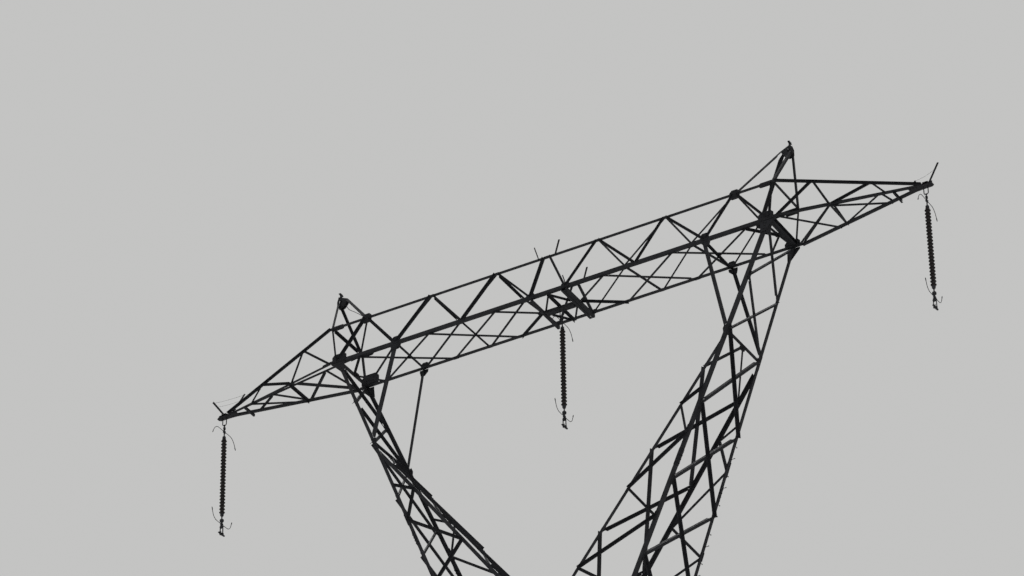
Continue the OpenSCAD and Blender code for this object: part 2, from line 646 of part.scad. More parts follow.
module peak_heads() {
    color(steel) both_x() translate([peak_x - 20, 0, beam_z]) {
        both_y() translate([0, -54, 0]) rotate([90, 0, 0]) mirror([0, 0, 1]) difference() {
            linear_extrude(10) polygon([[-226, 2437], [24, 2551], [60, 2575], [108, 2420], [108, 2250], [60, 2212],
                [-6, 2191], [-93, 2223], [-176, 2327]]);
            translate([0, 2400, -5]) cylinder(r = 52, h = 20, $fn = 40);
        }
        for (x = [-120, 70]) translate([x, -44.2, 2310]) cube([30, 88.4, 60]);
        translate([2, -44.2, 2490]) cube([52, 88.4, 44]);
        translate([-2, -25, 2520]) cube([44, 50, 115]);
        translate([20, 0, peak_h]) wire_clamp(10, 0.7);
    }
}

// ---- upright flat bars that keep birds off the hanging points ----
module flat_rod(p, q, w = 52, t = 6) {
    // in the plane y = p.y
    l = norm(q - p);
    translate(p) rotate([0, -atan2(q.z - p.z, q.x - p.x), 0]) translate([0, -t / 2, -w / 2]) cube([l, t, w]);
}
// Bar that stands on a small plate on an arm's sloping top side, at x
module perch_foot(x, q) {
    color(steel) {
        difference() {
            flat_rod(q[0] + [0, 0, beam_z], q[1] + [0, 0, beam_z]);
            face([x, 0, beam_z + top_h(x) + 1.5], [1 / kt, 0, -sl / kt], [0, 1, 0])
                translate([-300, -100, -400]) cube([600, 200, 403]);
        }
        face([x, 0, beam_z + top_h(x) + 1.5], [1 / kt, 0, -sl / kt], [0, 1, 0])
            translate([-55, -45, 0]) cube([110, 90, 6]);
    }
}
module perch_guards() {
    z0 = beam_z + beam_h;
    color(steel) {
        both_y() flat_rod([235, -half_d - 4, z0 - 60], [365, -half_d - 4, z0 + 380]);
        both_y() flat_rod([-235, -half_d - 4, z0 - 60], [-365, -half_d - 4, z0 + 380], 28);
        flat_rod([-tip_x - 36, -9.6, beam_z + 110], [-tip_x - 380, -9.6, beam_z + 600]);
        flat_rod([tip_x + 112, -9.6, beam_z + 80], [tip_x + 378.7, -9.6, beam_z + 565]);
        mirror([1, 0, 0]) perch_foot(9985, [[9990, 0, 100], [9640, 0, 540]]);
        // the inner bar of the right arm is broken off above its foot
        perch_foot(9975, [[9950, 0, 90], [9992, 0, 258]]);
    }
}

// ---- strings: z = 0 is up_dz above the beam's underside, x = y = 0 the hanging point ----
// Link with an eye round the U-bolt's bow and a fork for the pin below
module shackle() {
    color(steel) difference() {
        union() {
            translate([-9, 0, -bow_dz]) rotate([0, 90, 0]) cylinder(r = 32, h = 18, $fn = 40);
            translate([-9, -20, -bow_dz - 62]) cube([18, 40, 45]);
            translate([-26, -26, -bow_dz - 70]) cube([52, 52, 14]);
            for (s = [-1, 1]) translate([-24, s * 19 - 6.5, -pin_dz - 22]) cube([48, 13, 67]);
            translate([0, 34, -pin_dz]) rotate([90, 0, 0]) cylinder(r = 9, h = 68, $fn = 32);
        }
        translate([-40, 0, -bow_dz]) rotate([0, 90, 0]) cylinder(r = 16, h = 80, $fn = 40);
    }
}

// Square rod along a list of points [y, z] in the plane x = 0, mitred at the bends
function normal2(a, b) = let (d = unit(b - a)) [-d.y, d.x];
function beside(pts, i, h) = let (n0 = normal2(pts[max(i - 1, 0)], pts[max(i, 1)]),
    n1 = i == len(pts) - 1 ? n0 : normal2(pts[i], pts[i + 1]), m = unit(n0 + n1)) pts[i] + m * h / (m * n0);
module rod_path(pts, r = 8) {
    k = len(pts) - 1;
    translate([-r, 0, 0]) rotate([90, 0, 90]) linear_extrude(2 * r)
        polygon(concat([for (i = [0:k]) beside(pts, i, r)], [for (i = [k:-1:0]) beside(pts, i, -r)]));
}

function disc_pts(z) = [[51, z], [54, z - 6], [disc_r, z - 24], [disc_r, z - 31], [56, z - 42], [51, z - 48]];

module insulator_string() {
    z0 = -disc_dz;
    zl = -disc_dz - (disc_n - 1) * disc_pitch - 45;
    color(disc_colour) difference() {
        union() {
            // top eye, stem and bracket
            translate([0, 8, -pin_dz]) rotate([90, 0, 0]) cylinder(r = 25, h = 16, $fn = 40);
            translate([-15, -8, -pin_dz - 62]) cube([30, 16, 62]);
            translate([-17, -42, -512]) cube([34, 84, 74]);
            // stem, discs and lower stem, turned as one
            rotate_extrude($fn = 48) polygon(concat(
                [[0, -508], [17, -508], [17, -600], [45, -616], [45, z0 + 34], [51, z0 + 28]],
                [for (i = [0:disc_n - 1]) each disc_pts(z0 - i * disc_pitch)],
                [[51, zl - 20], [46, zl - 26], [46, zl - 90], [17, zl - 106], [17, -3148], [42, -3160], [56, -3185],
                    [56, -3213], [42, -3238], [22, -3250], [22, -3300], [0, -3300]]));
            // lower bracket and the two straps of the clamp
            translate([-17, -45, -3352]) cube([34, 90, 86]);
            translate([-46, -20, -3430]) cube([92, 40, 88]);
            for (s = [-1, 1]) {
                translate([s * 40 - 6, -20, -clamp_dz]) cube([12, 40, 185]);
                translate([s * 40 - 6, 0, -clamp_dz]) rotate([0, 90, 0]) cylinder(r = 28, h = 12, $fn = 40);
            }
            // arcing horns in the plane across the beam
            both_y() {
                rod_path([[30, -475], [190, -467], [330, -480], [430, -550], [490, -640], [545, -765]]);
                rod_path([[30, -3310], [200, -3312], [310, -3295], [390, -3225], [430, -3135], [470, -3015]]);
            }
        }
        translate([0, 20, -pin_dz]) rotate([90, 0, 0]) cylinder(r = 10.5, h = 40, $fn = 40);
        for (s = [-1, 1]) translate([s * 40 - 20, 0, -clamp_dz]) rotate([0, 90, 0]) cylinder(r = 12.5, h = 40, $fn = 40);
    }
}

module suspension_clamp() {
    color(steel) translate([0, 0, -clamp_dz]) {
        wire_clamp(wire_r, 1);
        for (s = [-1, 1]) translate([s > 0 ? 27.5 : -52, 0, 0]) rotate([0, 90, 0]) cylinder(r = 11, h = 24.5, $fn = 32);
    }
}

module at_left() translate([-tip_x, 0, beam_z + up_dz]) children();
module at_center() translate([0, 0, beam_z + up_dz - mid_dz]) children();
module at_right() translate([tip_x, 0, beam_z + up_dz]) children();

module left_shackle() at_left() shackle();
module center_shackle() at_center() shackle();
module right_shackle() at_right() shackle();
module left_insulator_string() at_left() insulator_string();
module center_insulator_string() at_center() insulator_string();
module right_insulator_string() at_right() insulator_string();
module left_suspension_clamp() at_left() suspension_clamp();
module center_suspension_clamp() at_center() suspension_clamp();
module right_suspension_clamp() at_right() suspension_clamp();

body_leg_near_left();
body_leg_near_right();
body_leg_far_left();
body_leg_far_right();
body_face_near();
body_face_far();
body_face_left();
body_face_right();
waist_diaphragm();
foot_plates();
throat_lacing();
left_fork_chords();
right_fork_chords();
left_fork_face_lacing();
right_fork_face_lacing();
left_fork_side_lacing();
right_fork_side_lacing();
bridge_top_chords();
bridge_bottom_chords();
bridge_side_lacing();
bridge_top_lacing();
bridge_bottom_lacing();
center_hanger_frame();
arm_root_beams();
left_arm_chords();
right_arm_chords();
left_arm_side_lacing();
right_arm_side_lacing();
left_arm_plan_lacing();
right_arm_plan_lacing();
arm_tip_plates();
left_peak_legs();
right_peak_legs();
peak_heads();
perch_guards();
left_shackle();
center_shackle();
right_shackle();
left_insulator_string();
center_insulator_string();
right_insulator_string();
left_suspension_clamp();
center_suspension_clamp();
right_suspension_clamp();
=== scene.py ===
import json
import math
import random

import bmesh
import bpy
import numpy as np
from mathutils import Matrix, Vector
from mathutils.bvhtree import BVHTree


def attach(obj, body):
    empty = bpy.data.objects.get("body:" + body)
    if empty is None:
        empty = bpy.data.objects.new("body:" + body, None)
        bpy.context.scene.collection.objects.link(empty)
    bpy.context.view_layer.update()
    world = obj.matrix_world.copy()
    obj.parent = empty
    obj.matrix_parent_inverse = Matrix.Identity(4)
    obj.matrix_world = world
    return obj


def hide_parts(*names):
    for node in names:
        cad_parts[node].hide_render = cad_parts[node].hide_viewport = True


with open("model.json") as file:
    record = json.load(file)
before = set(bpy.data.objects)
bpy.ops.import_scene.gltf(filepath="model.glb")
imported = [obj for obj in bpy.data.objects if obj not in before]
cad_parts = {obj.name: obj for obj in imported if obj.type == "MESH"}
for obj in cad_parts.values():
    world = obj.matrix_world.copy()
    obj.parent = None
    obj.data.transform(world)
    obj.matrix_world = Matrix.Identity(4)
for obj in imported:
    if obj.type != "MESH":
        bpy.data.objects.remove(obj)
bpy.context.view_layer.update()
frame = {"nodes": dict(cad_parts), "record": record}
N = frame["nodes"]

# ------------------------------------------------------------------ camera, light, floor
# The camera stands on the ground's slope below the tower and looks up at the beam.
F_PX = 4345.8
CAM = Vector((44.499, -80.752, -34.448))
YAW, PITCH, ROLL = math.radians(29.643), math.radians(33.935), math.radians(-0.867)
fwd = Vector((-math.sin(YAW) * math.cos(PITCH), math.cos(YAW) * math.cos(PITCH), math.sin(PITCH)))
right0 = Vector((math.cos(YAW), math.sin(YAW), 0))
up0 = right0.cross(fwd)
right = right0 * math.cos(ROLL) + up0 * math.sin(ROLL)
up = -right0 * math.sin(ROLL) + up0 * math.cos(ROLL)
cam_data = bpy.data.cameras.new("camera")
cam = bpy.data.objects.new("camera", cam_data)
bpy.context.scene.collection.objects.link(cam)
cam.matrix_world = Matrix(((right.x, up.x, -fwd.x, CAM.x), (right.y, up.y, -fwd.y, CAM.y),
                           (right.z, up.z, -fwd.z, CAM.z), (0, 0, 0, 1)))
cam_data.sensor_fit = "HORIZONTAL"
cam_data.sensor_width = 36
cam_data.lens = F_PX / 1024 * 36
cam_data.clip_start = 1
cam_data.clip_end = 2000
bpy.context.scene.camera = cam
bpy.context.scene.view_settings.view_transform = "Standard"

world = bpy.data.worlds.new("studio")
bpy.context.scene.world = world
world.use_nodes = True
world.node_tree.nodes["Background"].inputs["Color"].default_value = (0.86, 0.86, 0.85, 1)
world.node_tree.nodes["Background"].inputs["Strength"].default_value = 0.64


def sun(name, direction, strength, angle):
    d = bpy.data.lights.new(name, "SUN")
    d.energy, d.angle = strength, math.radians(angle)
    o = bpy.data.objects.new(name, d)
    bpy.context.scene.collection.objects.link(o)
    o.rotation_mode = "QUATERNION"
    o.rotation_quaternion = Vector(direction).to_track_quat("-Z", "Y")


sun("key", (0.35, -0.45, -0.8), 1.2, 25)
sun("fill", (-0.45, 0.6, -0.6), 0.35, 40)


# ------------------------------------------------------------------ materials
class Tree:
    """Small helper to build a node tree."""

    def __init__(self, name):
        self.m = bpy.data.materials.new(name)
        self.m.use_nodes = True
        self.t = self.m.node_tree
        self.b = self.t.nodes["Principled BSDF"]
        self.co = self.t.nodes.new("ShaderNodeTexCoord").outputs["Object"]

    def link(self, a, b):
        self.t.links.new(a, b)

    def map(self, scale, rot=(0, 0, 0)):
        n = self.t.nodes.new("ShaderNodeMapping")
        n.inputs["Scale"].default_value = scale
        n.inputs["Rotation"].default_value = rot
        self.link(self.co, n.inputs["Vector"])
        return n.outputs["Vector"]

    def noise(self, scale, detail=4, rough=0.55, vec=None, dist=0.0):
        n = self.t.nodes.new("ShaderNodeTexNoise")
        n.inputs["Scale"].default_value = scale
        n.inputs["Detail"].default_value = detail
        n.inputs["Roughness"].default_value = rough
        n.inputs["Distortion"].default_value = dist
        self.link(vec or self.co, n.inputs["Vector"])
        return n.outputs["Fac"]

    def voronoi(self, scale, vec=None):
        n = self.t.nodes.new("ShaderNodeTexVoronoi")
        n.inputs["Scale"].default_value = scale
        self.link(vec or self.co, n.inputs["Vector"])
        return n.outputs["Color"], n.outputs["Distance"]

    def ramp(self, fac, stops):
        n = self.t.nodes.new("ShaderNodeValToRGB")
        e = n.color_ramp.elements
        while len(e) < len(stops):
            e.new(0.5)
        for x, (pos, c) in zip(e, stops):
            x.position = pos
            x.color = (c, c, c, 1) if isinstance(c, (int, float)) else (*c, 1)
        self.link(fac, n.inputs["Fac"])
        return n.outputs["Color"]

    def mix(self, fac, a, b, kind="MIX"):
        n = self.t.nodes.new("ShaderNodeMix")
        n.data_type = "RGBA"
        n.blend_type = kind
        for sock, v in ((n.inputs[0], fac), (n.inputs[6], a), (n.inputs[7], b)):
            if isinstance(v, (int, float)):
                sock.default_value = v
            elif isinstance(v, tuple):
                sock.default_value = (*v, 1)
            else:
                self.link(v, sock)
        return n.outputs[2]

    def math(self, op, a, b=0.0):
        n = self.t.nodes.new("ShaderNodeMath")
        n.operation = op
        for sock, v in ((n.inputs[0], a), (n.inputs[1], b)):
            if isinstance(v, (int, float)):
                sock.default_value = v
            else:
                self.link(v, sock)
        return n.outputs[0]

    def bump(self, height, strength, distance, normal=None):
        n = self.t.nodes.new("ShaderNodeBump")
        n.inputs["Strength"].default_value = strength
        n.inputs["Distance"].default_value = distance
        self.link(height, n.inputs["Height"])
        if normal is not None:
            self.link(normal, n.inputs["Normal"])
        return n.outputs["Normal"]


def steel(name, base, rust=0.25, rough=(0.5, 0.8), metallic=0.3, spangle=1.0, seed=0.0):
    """Old hot-dip galvanised steel: dull dark zinc whose near-black base colour also holds painted shade for the
    backlit tower, with faint spangle, rain streaks, dirt and a little rust.
    """
    t = Tree(name)
    off = t.t.nodes.new("ShaderNodeVectorMath")
    off.operation = "ADD"
    off.inputs[1].default_value = (seed, seed * 1.7, seed * 0.6)
    t.link(t.co, off.inputs[0])
    t.co = off.outputs[0]
    big = t.noise(0.55, 5, 0.6)
    mid = t.noise(6.0, 6, 0.62, dist=0.4)
    fine = t.noise(85.0, 4, 0.6)
    cell, edge = t.voronoi(38.0)
    streak = t.noise(1.0, 5, 0.6, t.map((16, 16, 0.9)), 0.3)
    r, g, b = base
    dark = (r * 0.45, g * 0.45, b * 0.48)
    lite = (r * 1.75, g * 1.75, b * 1.78)
    c = t.mix(t.ramp(big, [(0.3, 0.0), (0.72, 1.0)]), dark, base)
    c = t.mix(t.ramp(mid, [(0.42, 0.0), (0.75, 0.75)]), c, lite)
    grey = t.t.nodes.new("ShaderNodeRGBToBW")
    t.link(cell, grey.inputs[0])
    c = t.mix(t.math("MULTIPLY", t.ramp(grey.outputs[0], [(0.35, 0.0), (0.9, 1.0)]), 0.22 * spangle), c, lite)
    c = t.mix(t.ramp(streak, [(0.52, 0.0), (0.8, 0.62)]), c, (r * 0.3, g * 0.29, b * 0.28))
    blot = t.math("MULTIPLY", t.ramp(t.noise(2.6, 8, 0.68, dist=0.8), [(0.6, 0.0), (0.72, 1.0)]),
                  t.ramp(fine, [(0.35, 0.2), (0.65, 1.0)]))
    c = t.mix(t.math("MULTIPLY", blot, rust), c, (r * 1.15 + 0.012, g * 0.62 + 0.0035, b * 0.36))
    t.link(c, t.b.inputs["Base Color"])
    t.link(t.ramp(t.math("ADD", t.math("MULTIPLY", mid, 0.6), t.math("MULTIPLY", fine, 0.4)),
                  [(0.3, rough[0]), (0.7, rough[1])]), t.b.inputs["Roughness"])
    t.b.inputs["Metallic"].default_value = metallic
    t.b.inputs["Specular IOR Level"].default_value = 0.16
    nrm = t.bump(fine, 0.35, 0.0012)
    nrm = t.bump(edge, 0.12, 0.0008, nrm)
    nrm = t.bump(t.noise(17.0, 3), 0.18, 0.003, nrm)
    t.link(nrm, t.b.inputs["Normal"])
    return t.m


def glaze(name):
    """Dark brown-black porcelain glaze with thin dust and rain marks."""
    t = Tree(name)
    mid = t.noise(9.0, 5, 0.6)
    fine = t.noise(160.0, 3, 0.6)
    streak = t.noise(1.0, 5, 0.65, t.map((70, 70, 5)), 0.2)
    c = t.mix(t.ramp(mid, [(0.35, 0.0), (0.7, 1.0)]), (0.006, 0.0045, 0.0042), (0.013, 0.009, 0.008))
    c = t.mix(t.math("MULTIPLY", t.ramp(streak, [(0.5, 0.0), (0.85, 1.0)]), 0.35), c, (0.022, 0.020, 0.018))
    c = t.mix(t.math("MULTIPLY", t.ramp(fine, [(0.6, 0.0), (0.8, 1.0)]), 0.2), c, (0.024, 0.022, 0.020))
    t.link(c, t.b.inputs["Base Color"])
    t.link(t.ramp(t.math("ADD", t.math("MULTIPLY", streak, 0.6), t.math("MULTIPLY", fine, 0.4)),
                  [(0.35, 0.3), (0.75, 0.55)]), t.b.inputs["Roughness"])
    t.b.inputs["Specular IOR Level"].default_value = 0.14
    t.b.inputs["Coat Weight"].default_value = 0.06
    t.b.inputs["Coat Roughness"].default_value = 0.2
    t.link(t.bump(mid, 0.06, 0.002, t.bump(fine, 0.05, 0.0004)), t.b.inputs["Normal"])
    return t.m


def paint_black(name):
    t = Tree(name)
    c = t.mix(t.ramp(t.noise(24.0, 5), [(0.35, 0.0), (0.7, 1.0)]), (0.010, 0.010, 0.011), (0.026, 0.026, 0.028))
    t.link(c, t.b.inputs["Base Color"])
    t.link(t.ramp(t.noise(60.0, 4), [(0.3, 0.45), (0.7, 0.75)]), t.b.inputs["Roughness"])
    t.link(t.bump(t.noise(220.0, 3), 0.2, 0.0005), t.b.inputs["Normal"])
    return t.m


# steel base colours near 0.02: partly dark weathered zinc, partly painted shade standing in for the backlit tower's
# dark silhouette
MAT = {
    "angle_steel": steel("angle_steel", (0.021, 0.0215, 0.024), 0.22, (0.55, 0.85), 0.08, seed=0.0),
    "lacing_steel": steel("lacing_steel", (0.018, 0.0185, 0.021), 0.26, (0.55, 0.85), 0.08, seed=3.1),
    "plate_steel": steel("plate_steel", (0.020, 0.0205, 0.023), 0.32, (0.55, 0.85), 0.08, seed=7.7),
    "guard_steel": steel("guard_steel", (0.016, 0.016, 0.018), 0.4, (0.6, 0.85), 0.06, 0.6, 5.3),
    "fitting_steel": steel("fitting_steel", (0.025, 0.0255, 0.028), 0.2, (0.45, 0.7), 0.12, 0.5, 9.2),
    "bolt_steel": steel("bolt_steel", (0.026, 0.026, 0.028), 0.45, (0.5, 0.75), 0.12, 0.4, 2.2),
    "insulator": glaze("insulator"),
    "cable": paint_black("cable"),
}
slot_of = {s["node"]: s["material_slot"] for s in frame["record"]["subparts"]}
for name, o in N.items():
    m = MAT[slot_of[name]]
    if o.material_slots:
        for s in o.material_slots:
            s.material = m
    else:
        o.data.materials.append(m)

# ------------------------------------------------------------------ mesh building


class Mesh:
    """Collects triangles, quads and polygons in metres, then makes one object."""

    def __init__(self):
        self.v, self.f, self.s, self.n = [], [], [], 0

    def add(self, verts, faces, smooth=False, m=None):
        v = np.asarray(verts, float).reshape(-1, 3)
        if m is not None:
            a = np.array(m, float)
            v = v @ a[:3, :3].T + a[:3, 3]
            if np.linalg.det(a[:3, :3]) < 0:
                faces = [tuple(reversed(f)) for f in faces]
        self.v.append(v)
        k = self.n
        self.f += [tuple(i + k for i in f) for f in faces]
        self.s += [smooth] * len(faces) if isinstance(smooth, bool) else list(smooth)
        self.n += len(v)

    def make(self, name, mat, body="root", slot=None, replaces=()):
        me = bpy.data.meshes.new(name)
        me.from_pydata(np.concatenate(self.v).tolist(), [], self.f)
        me.polygons.foreach_set("use_smooth", self.s)
        me.materials.append(MAT[mat])
        me.update()
        o = bpy.data.objects.new(name, me)
        bpy.context.scene.collection.objects.link(o)
        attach(o, body)
        if replaces:
            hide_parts(*replaces)
        return o


MM = Matrix.Scale(0.001, 4)


def frame_at(p, z, x=None):
    """Matrix with its z axis along z at point p."""
    z = Vector(z).normalized()
    x = Vector(x) if x is not None else (Vector((1, 0, 0)) if abs(z.x) < 0.8 else Vector((0, 1, 0)))
    x = (x - z * x.dot(z)).normalized()
    y = z.cross(x)
    p = Vector(p)
    return Matrix(((x.x, y.x, z.x, p.x), (x.y, y.y, z.y, p.y), (x.z, y.z, z.z, p.z), (0, 0, 0, 1)))


def rings(profile, n, phase=0.0, cap=(True, True)):
    """Stack of n-gons: profile is a list of (radius, z). Returns verts and faces."""
    v, f = [], []
    for r, z in profile:
        v += [(r * math.cos(phase + 2 * math.pi * i / n), r * math.sin(phase + 2 * math.pi * i / n), z) for i in range(n)]
    for j in range(len(profile) - 1):
        for i in range(n):
            a, b = j * n + i, j * n + (i + 1) % n
            f.append((a, b, b + n, a + n))
    if cap[0]:
        f.append(tuple(range(n - 1, -1, -1)))
    if cap[1]:
        f.append(tuple((len(profile) - 1) * n + i for i in range(n)))
    return v, f


def lathe(profile, n):
    """Turned solid about z whose profile starts and ends on the axis or gets flat caps."""
    return rings(profile, n)


def box(lo, hi, bevel=0.0):
    """Box with chamfered edges. Returns verts and faces."""
    bm = bmesh.new()
    bmesh.ops.create_cube(bm, size=1)
    lo, hi = Vector(lo), Vector(hi)
    for v in bm.verts:
        v.co = Vector((lo[i] + (v.co[i] + 0.5) * (hi[i] - lo[i]) for i in range(3)))
    if bevel:
        bmesh.ops.bevel(bm, geom=bm.edges[:], offset=bevel, segments=2, profile=0.6, affect="EDGES")
    bm.verts.ensure_lookup_table()
    out = [tuple(v.co) for v in bm.verts], [tuple(v.index for v in f.verts) for f in bm.faces]
    bm.free()
    return out


def tube(points, r, n=10, ends=True):
    """Round rod along points, with mitred rings."""
    pts = [Vector(p) for p in points]
    v, f = [], []
    t = [(pts[min(i + 1, len(pts) - 1)] - pts[max(i - 1, 0)]).normalized() for i in range(len(pts))]
    ref = Vector((1, 0, 0)) if abs(t[0].x) < 0.7 else Vector((0, 0, 1))
    x = (ref - t[0] * ref.dot(t[0])).normalized()
    for i, p in enumerate(pts):
        x = (x - t[i] * x.dot(t[i])).normalized()
        y = t[i].cross(x)
        rr = r[i] if isinstance(r, (list, tuple)) else r
        v += [tuple(p + (x * math.cos(a) + y * math.sin(a)) * rr) for a in (2 * math.pi * k / n for k in range(n))]
    for j in range(len(pts) - 1):
        for i in range(n):
            a, b = j * n + i, j * n + (i + 1) % n
            f.append((a, b, b + n, a + n))
    if ends:
        f.append(tuple(range(n - 1, -1, -1)))
        f.append(tuple((len(pts) - 1) * n + i for i in range(n)))
    return v, f


def spline(pts, k=8):
    """Smooth curve through points."""
    p = [Vector(q) for q in pts]
    p = [p[0] * 2 - p[1]] + p + [p[-1] * 2 - p[-2]]
    out = []
    for i in range(1, len(p) - 2):
        for j in range(k):
            t = j / k
            out.append(0.5 * ((2 * p[i]) + (p[i + 1] - p[i - 1]) * t + (2 * p[i - 1] - 5 * p[i] + 4 * p[i + 1] - p[i + 2]) * t * t
                              + (3 * p[i] - p[i - 1] - 3 * p[i + 1] + p[i + 2]) * t ** 3))
    return out + [p[-2]]


def fillet(pts, r=6.0, k=4):
    """Polyline whose inner corners are rounded with arcs of about radius r."""
    p = [Vector(q) for q in pts]
    out = [p[0]]
    for i in range(1, len(p) - 1):
        a, b = (p[i - 1] - p[i]), (p[i + 1] - p[i])
        d = min(r, a.length * 0.45, b.length * 0.45)
        a, b = p[i] + a.normalized() * d, p[i] + b.normalized() * d
        out += [a * (1 - t) ** 2 + p[i] * 2 * t * (1 - t) + b * t * t for t in (j / k for j in range(k + 1))]
    return out + [p[-1]]


# hexagon bolt parts in millimetres: (across flats, head height, washer radius)
SIZES = {12: (18, 8, 12), 16: (24, 10, 15), 20: (30, 12.5, 18.5), 30: (46, 20, 28)}


def bolt_parts(d):
    af, h, wr = SIZES[d]
    r = af / math.sqrt(3)
    head = rings([(r, 2.8), (r, 2.8 + h * 0.78), (r * 0.86, 2.8 + h)], 6)
    washer = rings([(wr, 0.0), (wr, 3.0)], 8)
    nh = d * 0.85
    nut = rings([(r * 0.9, 2.8), (r, 2.8 + nh * 0.16), (r, 2.8 + nh * 0.86), (r * 0.88, 2.8 + nh)], 6)
    stub = rings([(d * 0.47, 2.8 + nh - 0.5), (d * 0.47, nh + d * 0.5), (d * 0.36, nh + d * 0.62)], 6)
    return (head, washer), (nut, washer, stub)


BOLT = {d: bolt_parts(d) for d in SIZES}


def put_bolt(mesh, p, n, d, back, turn=0.0):
    """Bolt head on the surface at p (metres) with outward normal n, nut at depth back (metres) behind it."""
    rot = Matrix.Rotation(turn, 4, "Z")
    m = frame_at(p, n) @ rot @ MM
    for v, f in BOLT[d][0]:
        mesh.add(v, f, False, m)
    if back is not None:
        m = frame_at(Vector(p) - Vector(n) * back, -Vector(n)) @ rot @ MM
        for v, f in BOLT[d][1]:
            mesh.add(v, f, False, m)


# ------------------------------------------------------------------ the tower's lines, in millimetres
beam_z, waist_z, waist_half, base_half = 27000.0, 15000.0, 1400.0, 3450.0
beam_h, half_d, end_x, fork_x, strut_x, tip_x = 1130.0, 725.0, 6500.0, 6300.0, 4510.0, 10260.0
knee_dz, crotch_dz, peak_x, tip_h, fork_b = 2910.0, 9810.0, 6660.0, 80.0, 90.0
fork_h = beam_z - waist_z
so, sy = (fork_x - waist_half) / fork_h, (waist_half - half_d) / fork_h
knee_x = fork_x - so * knee_dz
si, ss = knee_x / (crotch_dz - knee_dz), (knee_x - strut_x) / knee_dz
sb = (base_half - waist_half) / waist_z
ko, ki, ky, kb = (math.sqrt(1 + s * s) for s in (so, si, sy, sb))
arm_l = math.hypot(tip_x - end_x, half_d)
arm_a = Vector(((tip_x - end_x) / arm_l, half_d / arm_l, 0))
sl = (beam_h - tip_h) / (tip_x - end_x)
kt = math.sqrt(1 + sl * sl)


def w_at(z): return base_half - sb * z
def lp(z, s=1): return (s * (w_at(z) - 78), kb * z)
def lg(z, s, w): return (s * (w_at(z) - w / 2 - 26), kb * z)
def no(dz): return (fork_x - so * dz - 50, -ky * dz)
def ni(dz): return (knee_x - si * (dz - knee_dz) + 56, -ky * dz)
def po(dz, s=1): return (-s * (half_d + sy * dz - 48), -ko * dz)
def pg(dz, s, w): return (-s * (half_d + sy * dz - w / 2 - 16), -ko * dz)
def pi_(d, s=1): return (s * (half_d + sy * (knee_dz + d) - 46), -ki * d)
def top_h(x): return tip_h + (beam_h - tip_h) * (tip_x - x) / (tip_x - end_x)
def at(x): return ((x - end_x) / arm_a.x, top_h(x) - 41)
def ab(x): return ((x - end_x) / arm_a.x, 41)
def aw(x): return half_d * (tip_x - x) / (tip_x - end_x)
def on3(dz): return Vector((fork_x - so * dz, -(half_d + sy * dz), beam_z - dz))


MX, MY = Matrix.Scale(-1, 4, (1, 0, 0)), Matrix.Scale(-1, 4, (0, 1, 0))
ID = Matrix.Identity(4)
XX, YY, XY = [ID, MX], [ID, MY], [ID, MX, MY, MX @ MY]

# every steel surface of the fixed tower, to seat bolts on
tv, tf = [], []
k0 = 0
for name, o in N.items():
    if slot_of[name] in ("insulator", "fitting_steel"):
        continue
    me = o.data
    me.calc_loop_triangles()
    co = np.zeros(len(me.vertices) * 3)
    me.vertices.foreach_get("co", co)
    tri = np.zeros(len(me.loop_triangles) * 3, int)
    me.loop_triangles.foreach_get("vertices", tri)
    tv += co.reshape(-1, 3).tolist()
    tf += (tri.reshape(-1, 3) + k0).tolist()
    k0 += len(me.vertices)
steel_tree = BVHTree.FromPolygons(tv, tf)

rng = random.Random(11)
placed = {}
taken = {}


def seat(piece, p, n, d, reach=0.055, deep=0.05):
    """Puts a bolt through the steel at p (metres) along n if the surface there is flat and free."""
    key = (round(p.x / 0.034), round(p.y / 0.034), round(p.z / 0.034))
    for dx in (-1, 0, 1):
        for dy in (-1, 0, 1):
            for dz in (-1, 0, 1):
                q = taken.get((key[0] + dx, key[1] + dy, key[2] + dz))
                if q is not None and (q - p).length < 0.034:
                    return False
    hit = steel_tree.ray_cast(p + n * reach, -n, reach + deep)
    if hit[0] is None or abs(hit[1].dot(n)) < 0.98:
        return False
    x = (Vector((0, 0, 1)) - n * n.z)
    x = x.normalized() if x.length > 0.2 else Vector((1, 0, 0))
    y = n.cross(x)
    r = SIZES[d][2] * 0.001 * 0.9
    for a in range(6):
        q = p + (x * math.cos(a * 1.0472) + y * math.sin(a * 1.0472)) * r
        h = steel_tree.ray_cast(q + n * reach, -n, reach + deep)
        if h[0] is None or abs((h[0] - hit[0]).dot(n)) > 0.0016:
            return False
    back = steel_tree.ray_cast(p - n * deep, n, deep + reach)
    if back[0] is None:
        return False
    th = (hit[0] - back[0]).dot(n)
    if not 0.002 < th < 0.045:
        return False
    taken[key] = p
    put_bolt(placed.setdefault(piece, Mesh()), hit[0], n, d, th, rng.random() * 1.05)
    return True


